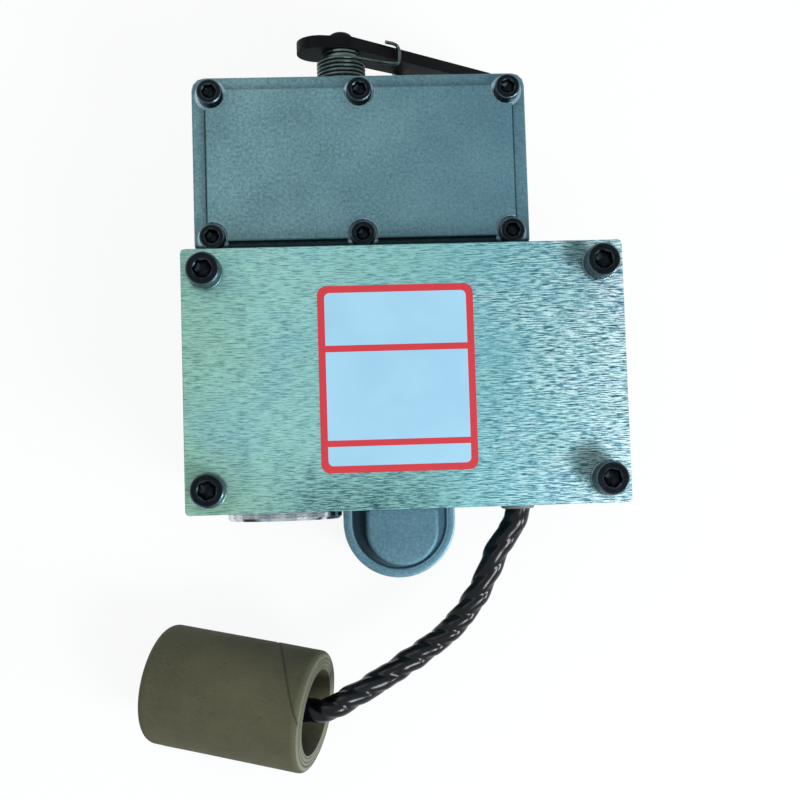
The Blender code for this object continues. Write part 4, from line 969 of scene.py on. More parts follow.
class Workshop:
    """Makes objects, gives them their finish and puts them on their body."""

    CAD_SAME_POINT = 2e-6
    CAD_FLAT = math.radians(0.4)

    def __init__(self) -> None:
        """Starts with an empty rack of finishes."""
        self.finishes: dict[str, bpy.types.Material] = {}

    def finish(self, recipe: Finish) -> bpy.types.Material:
        """The material of a finish, made once.

        Args:
            recipe: the finish.

        Returns:
            Its material.
        """
        if recipe.name not in self.finishes:
            self.finishes[recipe.name] = recipe.make()
        return self.finishes[recipe.name]

    def piece(
        self,
        name: str,
        skin: Skin,
        finish: Finish,
        body: Body | None,
        replaces: Sequence[str] = (),
        slot: str | None = None,
        crease: float = 32.0,
    ) -> bpy.types.Object:
        """Makes an object from a skin.

        Args:
            name: name of the piece.
            skin: its mesh.
            finish: its finish.
            body: the body that it moves with, or none for a piece on no body.
            replaces: CAD nodes that it stands for.
            slot: material slot, not used.
            crease: angle in degrees above which an edge looks sharp.

        Returns:
            The new object.
        """
        mesh = bpy.data.meshes.new(name)
        faces = skin.quads.tolist() + skin.triangles.tolist()
        mesh.from_pydata(skin.points, [], faces)
        for key, values in skin.notes.items():
            stored = mesh.attributes.new(key, "FLOAT", "POINT")
            stored.data.foreach_set("value", values.astype(np.float32))
        self._mend(mesh)
        return self._settle(show(name, mesh), finish, body, replaces, crease)

    @staticmethod
    def _mend(mesh: bpy.types.Mesh) -> None:
        """Merges doubled points, drops loose ones and turns faces outwards.

        Args:
            mesh: the mesh that is mended.
        """
        work = bmesh.new()
        work.from_mesh(mesh)
        bmesh.ops.remove_doubles(work, verts=work.verts, dist=SAME_POINT)
        loose = [v for v in work.verts if not v.link_faces]
        bmesh.ops.delete(work, geom=loose, context="VERTS")
        bmesh.ops.recalc_face_normals(work, faces=work.faces)
        work.to_mesh(mesh)
        work.free()

    def refined(
        self,
        node: str,
        name: str,
        finish: Finish,
        body: Body,
        slot: str,
        width: float = 0.0,
        segments: int = 2,
        crease: float = 50.0,
    ) -> bpy.types.Object:
        """Copies a CAD node, merges its triangles and softens its edges.

        Args:
            node: the CAD node that is copied and replaced.
            name: name of the piece.
            finish: its finish.
            body: the body that it moves with.
            slot: material slot, not used.
            width: width of the rounded edges in metres, or 0 for none.
            segments: steps across a rounded edge.
            crease: angle in degrees above which an edge is rounded.

        Returns:
            The new object.
        """
        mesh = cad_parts[node].data.copy()
        mesh.name = name
        mesh.materials.clear()
        work = bmesh.new()
        work.from_mesh(mesh)
        bmesh.ops.remove_doubles(work, verts=work.verts, dist=self.CAD_SAME_POINT)
        bmesh.ops.dissolve_limit(
            work, angle_limit=self.CAD_FLAT, verts=work.verts, edges=work.edges
        )
        work.to_mesh(mesh)
        work.free()
        made = show(name, mesh)
        if width:
            soft = made.modifiers.new("soft_edges", "BEVEL")
            soft.width = width
            soft.segments = segments
            soft.limit_method = "ANGLE"
            soft.angle_limit = math.radians(crease)
            soft.use_clamp_overlap = True
            soft.harden_normals = True
        flat_faces = made.modifiers.new("flat_faces", "WEIGHTED_NORMAL")
        flat_faces.keep_sharp = True
        return self._settle(made, finish, body, [node], crease)

    def _settle(
        self,
        made: bpy.types.Object,
        finish: Finish,
        body: Body | None,
        replaces: Sequence[str],
        crease: float,
    ) -> bpy.types.Object:
        """Shades and dresses an object and puts it on its body.

        Args:
            made: the object.
            finish: its finish.
            body: the body that it moves with, or none for a piece on no body.
            replaces: CAD nodes that it stands for.
            crease: angle in degrees above which an edge looks sharp.

        Returns:
            The same object.
        """
        made.data.shade_smooth()
        made.data.set_sharp_from_angle(angle=math.radians(crease))
        made.data.materials.append(self.finish(finish))
        if body is not None:
            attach(made, body.value)
        if replaces:
            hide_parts(*replaces)
        LOG.info("%s: %d faces on %s", made.name, len(made.data.polygons), body)
        return made

    def redress(self, nodes: Sequence[str], finish: Finish) -> None:
        """Gives CAD nodes that stay a finish in place of their plain one.

        Args:
            nodes: names of the nodes.
            finish: their new finish.
        """
        material = self.finish(finish)
        for node in nodes:
            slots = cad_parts[node].data.materials
            slots.clear()
            slots.append(material)
            LOG.info("%s: CAD shape in %s", node, material.name)


# Finishes that several sub-assemblies share
BLACK_OXIDE = DarkMetal("black_oxide_steel", paint(22, 26, 30), paint(96, 116, 126), 0.26, 1.0)
WASHER_STEEL = DarkMetal("washer_steel", paint(50, 70, 76), paint(170, 208, 214), 0.2, 1.0)
LEVER_PAINT = DarkMetal(
    "lever_black",
    paint(4, 6, 8),
    paint(16, 22, 26),
    rough=0.4,
    metallic=0.0,
    grain_mm=0.05,
    specular=0.1,
)
DRAWN_WIRE = BareMetal("spring_steel", paint(58, 72, 70), paint(122, 138, 134), 0.26)
BRIGHT_TURNED = BareMetal(
    "turned_steel",
    paint(104, 124, 138),
    paint(246, 250, 252),
    rough=0.05,
    lines=(2.6, 1.6, 0.2),
    lines_mm=0.004,
    axis=(-50.2, 52.0),
)
PLAIN_STEEL = BareMetal("dull_steel", paint(126, 134, 136), paint(182, 190, 192), 0.32)
GASKET = Plastic("gasket_fibre", paint(64, 62, 56), paint(90, 86, 78), 0.8, 2.5, 0.08)
SLEEVE = Plastic(
    "cable_black",
    paint(3, 5, 8),
    paint(8, 13, 20),
    rough=0.14,
    grain=0.35,
    grain_mm=0.015,
    specular=0.36,
)
GLAND_GREY = Plastic("gland_rubber", paint(92, 96, 94), paint(128, 132, 128), 0.5, 1.6, 0.04)
SHELL_BLACK = Plastic("connector_black", paint(8, 10, 13), paint(22, 26, 30), 0.18, 1.2, 0.03)
NYLON = Plastic("former_nylon", paint(214, 206, 186), paint(230, 224, 208), 0.42)
IRON = BareMetal("core_iron", paint(86, 88, 92), paint(132, 134, 138), 0.4, (0.3, 0.3, 5.0), 0.05)
WINDING = BareMetal(
    "enamelled_copper", paint(150, 78, 38), paint(206, 122, 66), 0.22, (0.2, 0.3, 3.2), 0.12
)
BRASS = BareMetal("brass_pins", paint(168, 134, 66), paint(224, 194, 118), 0.2)
CASTING = CastAluminium()
BOARD = KraftPaper()


# ------------------------------------------------------------------ fasteners


@dataclass(frozen=True)
class CapScrew:
    """Socket cap screw with a knurled head, standing on z = 0, in millimetres."""

    head: float
    height: float
    shank: float
    length: float
    across_flats: float
    teeth: int
    columns: int = 144
    knurl_rows: int = 9
    knurl_depth: float = 0.017
    socket_share: float = 0.52

    def skin(self) -> Skin:
        """Builds the screw.

        Head rows lie on circles, except the knurled ones, whose radius falls
        by a cosine of the angle, shifted from row to row so that the grooves
        cross. Socket rows lie on a hexagon, whose radius is the apothem over
        the cosine of the angle from the middle of the nearest side.

        Returns:
            The closed skin, with its "wear" value high on exposed edges.
        """
        angles = wheel(self.columns)
        round_row = np.ones(self.columns)
        hexagon = 1 / np.cos(np.mod(angles, np.pi / 3) - np.pi / 6)
        head, top, flat = self.head, self.height, self.across_flats / 2
        floor = top - top * self.socket_share
        knurl_foot, knurl_top = top * 0.1, top * 0.86
        tip = -self.length
        # Radius, height, wear and shape of each row, from the socket's floor
        rows = [
            (0.0, floor - flat * 0.5, 0.0, round_row),
            (flat * 0.97, floor, 0.0, hexagon),
            (flat, floor + 0.1, 0.0, hexagon),
            (flat, top - top * 0.075, 0.5, hexagon),
            (flat * 1.19, top, 0.9, round_row),
            (flat * 1.19 + 0.15, top, 0.5, round_row),
            (head * 0.86, top, 0.35, round_row),
            (head * 0.9, top, 0.8, round_row),
            (head * 0.965, top - head * 0.05, 1.0, round_row),
            (head, knurl_top + head * 0.02, 0.8, round_row),
        ]
        for k in range(self.knurl_rows):
            z = knurl_top + (knurl_foot - knurl_top) * k / (self.knurl_rows - 1)
            wave = np.cos(self.teeth * angles + np.pi * k * 0.5)
            rows.append((head, z, 0.75, 1 - self.knurl_depth * (1 - wave)))
        rows += [
            (head * 0.99, knurl_foot * 0.7, 0.4, round_row),
            (head * 0.96, 0.0, 0.2, round_row),
            (self.shank, 0.0, 0.0, round_row),
            (self.shank, tip + self.shank * 0.3, 0.0, round_row),
            (self.shank * 0.8, tip, 0.0, round_row),
            (0.0, tip, 0.0, round_row),
        ]
        radii, heights, wears, shapes = zip(*rows)
        swell = np.stack(shapes)
        crest = np.where(swell > 0.985, 1.0, 0.25)
        notes = {"wear": np.array(wears)[:, None] * crest}
        return turned(list(zip(radii, heights)), self.columns, swell, notes)


@dataclass(frozen=True)
class LockWasher:
    """Split spring washer, lying on z = 0, in millimetres."""

    inner: float
    outer: float
    thickness: float
    gap: float = math.radians(7)
    slant: float = math.radians(9)
    stations: int = 90
    corner_steps: int = 4

    def skin(self) -> Skin:
        """Builds the washer.

        A rectangle with rounded corners is carried round the circle from one
        side of the gap to the other. Its angle leans with height, so the gap
        is slanted as on the real washer.

        Returns:
            The closed skin.
        """
        half = ((self.outer - self.inner) / 2, self.thickness / 2)
        section = rounded_rectangle(half, self.thickness * 0.14, self.corner_steps)
        off, rise = section[None, :, 0], section[None, :, 1]
        angles = np.linspace(self.gap / 2, 2 * np.pi - self.gap / 2, self.stations)
        leaning = angles[:, None] + self.slant * rise / self.thickness
        radius = (self.outer + self.inner) / 2 + off
        height = np.broadcast_to(rise + self.thickness / 2, leaning.shape)
        rows = capped(np.dstack([radius[..., None] * rays(leaning), height]) * MM)
        return rounded_grid(rows, notes={"wear": np.full(rows.shape[:2], 0.7)})


COVER_SCREW_SPOTS = tuple((x, y) for x in (-73.8, -14.8, 44.2) for y in (57.35, 114.95))


@dataclass
class Fasteners:
    """All the visible screws and washers of the covers, in millimetres."""

    shop: Workshop
    plate_x: float = 75.6
    plate_y: float = 41.35
    plate_seat: float = 105.3
    cover_seat: float = 89.3
    washer: LockWasher = LockWasher(4.3, 6.8, 2.0)
    washer_spring: float = 0.15
    m8: CapScrew = CapScrew(6.5, 8.0, 4.0, 25.0, 6.2, 42)
    m6: CapScrew = CapScrew(5.0, 6.0, 3.0, 12.0, 5.0, 36)
    screw_turns: tuple[float, ...] = (0.35, 1.1, -0.25, 0.7, 0.1, 0.9)
    washer_turns: tuple[float, ...] = (2.1, 3.9, -0.4, -1.9)

    def build(self) -> None:
        """Makes the plate's screws and washers, then the cover's screws."""
        spots = [(sx * self.plate_x, sy * self.plate_y) for sx in (-1, 1) for sy in (-1, 1)]
        top = self.plate_seat + self.washer.thickness + self.washer_spring
        for i, (x, y) in enumerate(spots):
            place = stand(metres(x, y, self.plate_seat), turn=self.washer_turns[i])
            skin = self.washer.skin().moved(place)
            self.add(f"split_washer_{i + 1}", skin, f"lock_washer_{i + 1}", WASHER_STEEL)
            skin = self.m8.skin().moved(stand(metres(x, y, top), turn=self.screw_turns[i]))
            self.add(f"knurled_plate_screw_{i + 1}", skin, f"plate_screw_{i + 1}")
        for i, (x, y) in enumerate(COVER_SCREW_SPOTS):
            place = stand(metres(x, y, self.cover_seat), turn=self.screw_turns[-1 - i])
            skin = self.m6.skin().moved(place)
            self.add(f"knurled_cover_screw_{i + 1}", skin, f"cover_screw_{i + 1}")

    def add(self, name: str, skin: Skin, node: str, finish: DarkMetal = BLACK_OXIDE) -> None:
        """Adds one fastener in place of its node."""
        self.shop.piece(name, skin, finish, Body.FIXED, [node], "black_steel")


# -------------------------------------------------------------------- castings


@dataclass(frozen=True)
class OvalOutline:
    """Outline of one part of the end cap, in millimetres.

    Each level gives how far it lies inside the outline, its height over the
    cap's rear and how far its top edge is lowered.
    """

    centre_x: float
    bottom: float
    radius: float
    levels: tuple[Point, ...]
    arc_steps: int = 61
    corner_steps: int = 7

    def level(self, inset: float, top: float) -> Array:
        """Outline at one level.

        A half circle closes the bottom, two straight sides run up from it and
        a straight edge with small round corners closes the top.

        Args:
            inset: how far this level lies inside the full outline.
            top: y of the top edge of this level.

        Returns:
            The points, anticlockwise from the left end of the half circle.
        """
        r = self.radius - inset
        corner = min(1.5, r * 0.2)
        half_turn = np.radians(np.linspace(180, 360, self.arc_steps))
        right = np.radians(np.linspace(0, 90, self.corner_steps))
        parts = [(0.0, self.bottom + self.radius, r, half_turn)]
        parts += [(r - corner, top - corner, corner, right)]
        parts += [(corner - r, top - corner, corner, right + np.pi / 2)]
        return np.concatenate([(self.centre_x + x, y) + c * rays(a) for x, y, c, a in parts])


@dataclass
class Castings:
    """Main housing, link compartment cover and oval end cap, in millimetres."""

    shop: Workshop
    panel: tuple[Pair, Pair] = ((-14.8, 86.15), (60.9, 30.5))
    panel_foot: float = 54.9
    cap_rear: float = 55.4
    cap_top: float = -49.85
    cap_outer: OvalOutline = OvalOutline(
        -2.5, -80.2, 23.3,
        (
            (17.0, -4.8, 1.2), (7.0, -5.0, 1.2), (6.6, -4.8, 1.2), (6.6, -0.02, 1.2),
            (0.25, 0.0, 0.0), (0.0, 0.25, 0.0), (0.0, 2.1, 0.0), (0.12, 2.6, 0.05),
            (0.4, 3.0, 0.15), (0.85, 3.2, 0.2), (2.9, 3.24, 0.4), (3.3, 3.14, 0.5),
            (3.65, 2.85, 0.6), (3.9, 2.4, 0.7), (4.1, 1.85, 0.8), (4.2, 1.7, 0.9),
        ),
    )
    cap_middle: OvalOutline = OvalOutline(
        -1.3, -75.3, 15.0,
        (
            (-0.62, 1.62, 1.2), (-0.4, 1.64, 1.3), (-0.15, 2.0, 1.4), (0.0, 3.2, 1.5),
            (0.1, 5.4, 1.55), (0.35, 6.1, 1.7), (0.75, 6.48, 1.9), (1.3, 6.6, 2.2),
            (1.9, 6.6, 2.4), (14.9, 6.62, 2.5),
        ),
    )
    groove_shade_rows: tuple[float, ...] = (0.7, 1.0, 1.0, 0.8)
    rim_rows: tuple[int, ...] = (8, 9, 12, 21)

    def build(self) -> None:
        """Makes the three castings."""
        self.shop.refined(
            "housing", "cast_housing", CASTING, Body.FIXED, "cast_aluminium", 0.5 * MM
        )
        finish = CastAluminium(
            "cast_cover",
            spot_faces=COVER_SCREW_SPOTS,
            panel=self.panel,
            shaded_below=self.panel_foot,
        )
        self.shop.refined(
            "link_cover", "cast_cover", finish, Body.FIXED, "cast_aluminium", 0.4 * MM, crease=30.0
        )
        self.make_cap()

    def make_cap(self) -> None:
        """Makes the cap: a stack of outlines from the rear face to the middle.

        Rows lie on the outer outline at first and on the outline of the
        raised middle afterwards. The mesh stores painted shade in the groove
        round the middle, "groove_shade", which grows to the left, and painted
        highlights on the rims, "wear_and_highlight", which grow to the right.
        """
        rows = []
        for part in (self.cap_outer, self.cap_middle):
            for inset, height, lowered in part.levels:
                outline = part.level(inset, self.cap_top - lowered)
                z = np.full(len(outline), self.cap_rear + height)
                rows.append(np.column_stack([outline, z]))
        grid = capped(np.stack(rows))
        across = (grid[..., 0] - self.cap_middle.centre_x) / self.cap_middle.radius
        groove, rims = np.zeros(len(grid)), np.zeros(len(grid))
        first_shaded = len(self.cap_outer.levels) - 1
        groove[first_shaded : first_shaded + len(self.groove_shade_rows)] = self.groove_shade_rows
        rims[list(self.rim_rows)] = 0.6
        # Painted shade in the groove, darker to the left, and painted highlights on the rims,
        # brighter to the right.
        notes = {
            "groove_shade": groove[:, None] * (0.35 + 0.6 * np.clip(-across, 0, 1)),
            "wear_and_highlight": rims[:, None] * (0.35 + 0.65 * np.clip(across, 0, 1)),
        }
        finish = CastAluminium("cast_cap", paint(72, 106, 120), paint(122, 160, 172))
        self.shop.piece(
            "oval_end_cap", rounded_grid(grid * MM, notes=notes), finish, Body.FIXED,
            ["end_cap"], "cast_aluminium",
        )


# ----------------------------------------------------------------- front plate


@dataclass
class FrontPlate:
    """Ground steel plate with its blank label, in millimetres."""

    shop: Workshop
    face_z: float = 105.0
    label_low: Pair = (-33.3, -36.4)
    label_high: Pair = (26.4, 35.1)
    label_thickness: float = 0.12
    label_gap: float = 0.01
    label_edge: float = 0.06
    border: float = 2.7
    corner: float = 3.6
    corner_steps: int = 9
    field_corner: float = 2.0
    bars: tuple[Pair, ...] = ((9.7, 12.2), (-26.4, -24.0))

    def build(self) -> None:
        """Makes the plate and its label."""
        self.shop.refined(
            "cover_plate", "ground_plate", GroundZinc(), Body.FIXED, "ground_steel", 0.35 * MM
        )
        self.make_label()

    def make_label(self) -> None:
        """Makes the label as a thin rounded rectangle on the plate.

        Rows are the same outline at the foot, at the top edge and a little
        inside it, and the last row shrinks to the centre.
        """
        low, high = np.array(self.label_low), np.array(self.label_high)
        centre, half = (low + high) / 2, (high - low) / 2
        foot = self.face_z + self.label_gap
        top = foot + self.label_thickness
        rows = []
        for inset, z in ((0.0, foot), (0.0, top), (self.label_edge, top)):
            outline = rounded_rectangle(half - inset, self.corner - inset, self.corner_steps)
            rows.append(np.column_stack([centre + outline, np.full(len(outline), z)]))
        finish = LabelPrint(
            "blank_label",
            tuple(centre),
            tuple(half),
            self.border,
            self.border + self.field_corner,
            self.bars,
        )
        skin = rounded_grid(capped(np.stack(rows)) * MM)
        self.shop.piece("blank_label", skin, finish, Body.FIXED)


# ------------------------------------------------------------------- stop gear


@dataclass
class StopGear:
    """Stop lever with its screw, its bush and its torsion spring.

    The screw's and the bush's sizes are in millimetres, the others in metres.
    """

    shop: Workshop
    x: float = -21.5 * MM
    z: float = 68.0 * MM
    lever_y: float = 138.2 * MM
    lever_thickness: float = 5.0 * MM
    arm_angle: float = math.radians(-36.5)
    spring_start: float = 125.3 * MM
    spring_radius: float = 9.4 * MM
    spring_wire: float = 0.75 * MM
    spring_pitch: float = 1.65 * MM
    spring_turns: int = 6
    spring_winds: Pair = (0.5 * MM, 7.5 * MM)
    steps_a_turn: int = 24
    wire_columns: int = 12
    hook_run: float = 24.0 * MM
    screw_seat: float = 0.3
    screw_head: float = 5.2
    screw_rise: float = 3.8
    screw_shank: Pair = (2.5, 11.0)
    bush_foot: float = 112.6
    bush_top: float = 136.8
    columns: int = 64

    def build(self) -> None:
        """Makes the lever and what sits round its shaft."""
        self.shop.refined(
            "stop_lever", "flat_stop_lever", LEVER_PAINT, Body.LEVER, "lever_black", 0.45 * MM, 3
        )
        self.make_screw()
        self.make_bush()
        self.make_spring()

    def make_screw(self) -> None:
        """Makes the domed button screw that holds the lever.

        The dome is a quarter ellipse turned round the shaft, with a round
        socket sunk into its top.
        """
        seat, head, rise = self.screw_seat, self.screw_head, self.screw_rise
        top = seat + rise
        shank, length = self.screw_shank
        dome = arc_points((0.0, 0.0), 1.0, 66, 2, 14)
        profile = [(0.0, top - 1.6), (1.6, top - 1.5), (1.75, top - 0.35)]
        profile += [(head * c, seat + rise * (0.25 + 0.75 * s)) for c, s in dome]
        profile += [(head, seat + 0.25), (head - 0.2, seat)]
        profile += [(shank, seat), (shank, seat - length), (0.0, seat - length)]
        place = self.on_axis(self.lever_y + self.lever_thickness)
        skin = turned(profile, self.columns).moved(place)
        self.shop.piece(
            "button_screw", skin, LEVER_PAINT, Body.LEVER, ["lever_screw"], "lever_black"
        )

    def on_axis(self, y: float) -> Matrix:
        """Stands a turned piece on the shaft's axis, its +Z along +Y."""
        return stand((self.x, y, self.z), Along.Y)

    def make_bush(self) -> None:
        """Makes the bush: a ring with a turned neck and chamfered rim."""
        foot = self.bush_foot - self.bush_top
        profile = [
            (5.3, 0.0), (7.5, 0.0), (7.9, -0.4), (8.0, -0.8), (8.0, -2.2),
            (7.6, -2.5), (7.6, -3.0), (8.0, -3.3), (8.0, foot), (5.3, foot),
        ]
        place = self.on_axis(self.bush_top * MM)
        skin = turned(profile, self.columns, ring=True).moved(place)
        self.shop.piece(
            "shaft_bush", skin, DRAWN_WIRE, Body.FIXED, ["stop_shaft_bush"], "dull_steel"
        )

    def spring_route(self) -> Array:
        """Centreline of the spring wire.

        It runs out of the casting, winds round the shaft and ends in a leg
        that lies along the lever and hooks over its far face.

        Returns:
            Even points along the wire.
        """
        first = math.pi
        last = math.pi / 2 + self.arm_angle - 2 * math.pi * (self.spring_turns - 1)
        steps = round((first - last) / (2 * math.pi) * self.steps_a_turn)
        anchor_x, anchor_z = self.x - self.spring_radius, self.z - 12.0 * MM
        start = self.spring_start
        knots = [
            (anchor_x, start - 4.0 * MM, anchor_z),
            (anchor_x, start - 2.0 * MM, anchor_z),
            (anchor_x, start - 0.6 * MM, anchor_z + 0.6 * MM),
            (anchor_x, start, anchor_z + 2.2 * MM),
        ]
        angles = np.linspace(first, last, steps + 1)
        coil_y = start + self.spring_pitch * (first - angles) / (2 * math.pi)
        coil = np.array([self.x, self.z]) + self.spring_radius * rays(angles)
        knots += [(x, y, z) for (x, z), y in zip(coil, coil_y)]
        end_y = float(coil_y[-1])
        over = self.lever_y + self.lever_thickness + 0.12 * MM + self.spring_wire
        run = self.hook_run
        hook = [
            (run * 0.45, end_y + 0.5 * MM),
            (run * 0.85, end_y + 1.4 * MM),
            (run * 0.97, end_y + 2.6 * MM),
            (run, self.lever_y + self.lever_thickness / 2),
            (run * 0.97, over - MM),
            (run * 0.90, over),
            (run * 0.70, over),
        ]
        along = (math.cos(self.arm_angle), math.sin(self.arm_angle))
        across = (-along[1], along[0])
        r = self.spring_radius
        knots += [
            (self.x + across[0] * r + along[0] * s, y, self.z + across[1] * r + along[1] * s)
            for s, y in hook
        ]
        return even_route(knots, 0.9 * MM)

    def make_spring(self) -> None:
        """Makes the torsion spring on no body, its place baked into its points."""
        path = self.spring_route()
        toward = path - np.array([self.x, 0.0, self.z])
        toward[:, 1] = 0.0
        section = self.spring_wire * rays(wheel(self.wire_columns))
        made = self.shop.piece(
            "torsion_spring", carried(path, section, toward), DRAWN_WIRE, None,
            ["lever_spring"], "spring_steel", 60,
        )
        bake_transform(made)


# ------------------------------------------------------------- shaft carrier


@dataclass
class ShaftCarrier:
    """Bright turned bearing carrier in the lower wall and its three screws."""

    shop: Workshop
    seat: float = -51.85 * MM
    m3: CapScrew = CapScrew(2.75, 3.0, 1.5, 9.0, 2.5, 24, 72)

    def build(self) -> None:
        """Softens the carrier's edges and seats its black screws in their sinks."""
        self.shop.refined(
            "bearing_carrier", "turned_carrier", BRIGHT_TURNED, Body.FIXED, "turned_steel",
            0.35 * MM, crease=40.0,
        )
        for i in (1, 2, 3):
            low, high = (np.array(corner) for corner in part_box(f"carrier_screw_{i}"))
            x, z = (low[0] + high[0]) / 2, (low[2] + high[2]) / 2
            turn = Matrix.Translation((x, self.seat, z)) @ Matrix.Rotation(math.pi / 2, 4, "X")
            self.shop.piece(
                f"carrier_cap_screw_{i}", self.m3.skin().moved(turn), BLACK_OXIDE, Body.FIXED,
                [f"carrier_screw_{i}"], "black_steel",
            )


# ------------------------------------------------------------------ cable lead


@dataclass
class CableLead:
    """Sleeved cable with its gland, its connector and the paper guard tube.

    Sizes are in millimetres. The connector is shifted down and along in the
    tube's own frame.
    """

    shop: Workshop
    cable_radius: float = 5.5
    cable_columns: int = 48
    lay: float = 33.0
    hollow: float = 0.17
    hollow_from: float = 42.0
    round_to: float = 9.0
    gland: Point = (49.3, -49.55, 42.0)
    gland_columns: int = 64
    tube_outer: float = 25.7
    tube_bore: float = 18.1
    tube_length: float = 71.4
    tube_far: Pair = (-107.0, -124.6)
    tube_tilt: float = math.radians(16.0)
    tube_heading: float = math.radians(-10.0)
    tube_columns: int = 192
    worn_mouth: float = 2.8
    worn_far: float = 4.0
    ply_step: float = 0.14
    ply_gaps: tuple[float, ...] = (0.42, 0.63, 0.86)
    seam_lead: float = 79.0
    seam_turn: float = -2.452
    seam_width: float = 0.42
    seam_depth: float = 0.28
    ledge_rise: float = 0.1
    ledge_width: float = 9.0
    lit_turn: float = -0.9
    connector_shift: Point = (1.8, 0.0, 2.2)
    shell_columns: int = 72
    ring_columns: int = 120
    ribs: int = 20
    rib_depth: float = 0.035
    pins: int = 5
    pin_columns: int = 16
    pin_circle: float = 6.5
    pin_turn: float = 0.13
    route: tuple[Point, ...] = (
        (49.3, -43.0, 42.0),
        (49.3, -48.0, 42.0),
        (49.3, -53.0, 42.0),
        (48.1, -58.2, 41.8),
        (44.9, -63.8, 41.1),
        (40.0, -71.3, 39.6),
        (34.4, -84.0, 37.3),
        (27.0, -96.0, 35.6),
        (17.4, -106.4, 35.0),
        (5.6, -114.7, 35.4),
        (-4.2, -120.6, 36.8),
        (-15.2, -126.8, 39.1),
        (-26.0, -132.0, 41.9),
        (-33.0, -135.2, 43.1),
        (-38.2, -136.3, 42.7),
        (-43.1, -135.87, 41.49),
        (-48.77, -134.87, 39.84),
        (-53.92, -133.96, 38.34),
    )

    def build(self) -> None:
        """Makes the lead from the gland to the guard tube."""
        sleeve = self.make_cable()
        gland = self.make_gland()
        connector, ring, pins = self.make_connector()
        tube = self.make_tube()
        path = self.cable_path()

    def cable_path(self) -> Array:
        """The cable's centreline in metres, the same as the solid model's."""
        return even_route([metres(*knot) for knot in self.route], 1.1 * MM)

    def make_cable(self) -> bpy.types.Object:
        """Makes the sleeve, shrunk over twisted wires.

        The radius at length s and angle a is the cable's radius less a share
        of how far three wires, twisted by s over their lay, leave a hollow
        there, little at first, with slow swellings along the length and
        pinches that wander round it. It stays nearly round inside the gland.

        Returns:
            The sleeve.
        """
        path = self.cable_path()
        step = along_path(path)[:, None] / MM
        angles = wheel(self.cable_columns)[None]
        twist = step * 2 * np.pi / self.lay + 0.5 * np.sin(step * 0.09)
        lobes = np.abs(np.cos(1.5 * (angles - twist)))
        swell = 0.5 + 0.5 * np.sin(step * 0.33 + 1.3 * np.sin(step * 0.11))
        pinch = 0.5 + 0.5 * np.sin(step * 0.62 + angles + 2.0 * np.sin(step * 0.07))
        depth = self.hollow * np.clip(step / self.hollow_from, 0.2, 1.0)
        share = 1.0 - depth * (1 - lobes) ** 1.4 - 0.05 * swell - 0.05 * pinch
        share = np.where(step < self.round_to, np.maximum(share, 0.97), share)
        section = self.cable_radius * MM * share[..., None] * rays(angles)
        skin = carried(path, section, np.array([[0.0, 0.0, 1.0]]))
        return self.shop.piece(
            "sleeved_cable", skin, SLEEVE, Body.FIXED, ["cable"], "cable_black", 80
        )

    def make_gland(self) -> bpy.types.Object:
        """Makes the gland: a collar and a ribbed nose turned round the cable.

        Returns:
            The gland.
        """
        profile = [
            (7.2, 7.7), (7.2, 0.0), (8.3, 0.0), (8.6, -0.3), (8.6, -1.7), (8.3, -2.0),
            (7.5, -2.0), (7.4, -2.2), (7.3, -2.9), (6.9, -3.7), (6.4, -4.0), (5.8, -4.0),
            (5.6, -3.7), (5.6, 7.7),
        ]
        place = stand(metres(*self.gland), Along.Y)
        skin = turned(profile, self.gland_columns, ring=True).moved(place)
        return self.shop.piece(
            "gland_ring", skin, GLAND_GREY, Body.FIXED, ["cable_gland"], "gland_rubber"
        )

    def tube_frame(self) -> Matrix:
        """The guard tube's own frame: far end at the origin, +Z to its mouth.

        Returns:
            The transform, with +X down and the tube's far edge on the floor.
        """
        tilt, heading = self.tube_tilt, self.tube_heading
        flat = math.cos(tilt)
        forward = Vector((flat * math.cos(heading), flat * math.sin(heading), math.sin(tilt)))
        down = (Vector((0.0, 0.0, -1.0)) + forward * forward.z).normalized()
        place = Matrix((down, forward.cross(down), forward)).transposed().to_4x4()
        place.translation = metres(*self.tube_far, self.tube_outer * flat + 0.05)
        return place

    def make_tube(self) -> bpy.types.Object:
        """Makes the guard tube.

        The wall is a ring profile: outer wall, mouth, bore and far end, with
        the outer edges worn round. The outer radius drops by a narrow bell
        along a helix, where two turns of paper meet, and each end face steps
        in and out a little from ply to ply. Beyond the seam the wall stands a
        little proud, as a ledge that fades out, and the tube is a little oval.

        Returns:
            The tube.
        """
        angles = wheel(self.tube_columns)
        length, outer, bore = self.tube_length, self.tube_outer, self.tube_bore
        mouth, far = self.worn_mouth, self.worn_far
        mouth_plies = np.linspace(outer - mouth - 0.2, bore + 0.5, 31)
        far_plies = np.linspace(bore + 0.5, outer - far - 0.2, 25)
        step = np.array([0.0, 0.0, self.ply_step])
        dips = [step[np.arange(len(plies)) % 3] for plies in (mouth_plies, far_plies)]
        wall = np.linspace(far + 0.1, length - mouth - 0.1, 110)
        profile = np.concatenate([
            arc_points((outer - far, far), far, -84, -6, 12),
            np.stack([np.full(len(wall), outer), wall], axis=1),
            arc_points((outer - mouth, length - mouth), mouth, 6, 84, 10),
            np.stack([mouth_plies, length - dips[0]], axis=1),
            [(bore + 0.12, length - 0.12)],
            np.stack([np.full(12, bore), np.linspace(length - 0.5, 0.5, 12)], axis=1),
            [(bore + 0.12, 0.12)],
            np.stack([far_plies, dips[1]], axis=1),
        ])
        radius, height = profile[:, 0], profile[:, 1]
        turned_by = (angles[None] - self.seam_turn) / (2 * np.pi)
        turns = height[:, None] - self.seam_lead * turned_by
        off = np.mod(turns + self.seam_lead / 2, self.seam_lead) - self.seam_lead / 2
        bell = np.exp(-((off / self.seam_width) ** 2))
        ledge = 0.5 * (1 + np.tanh(off / 0.5)) * np.exp(-((off / self.ledge_width) ** 2))
        on_wall = (radius > outer - 1.5).astype(float)
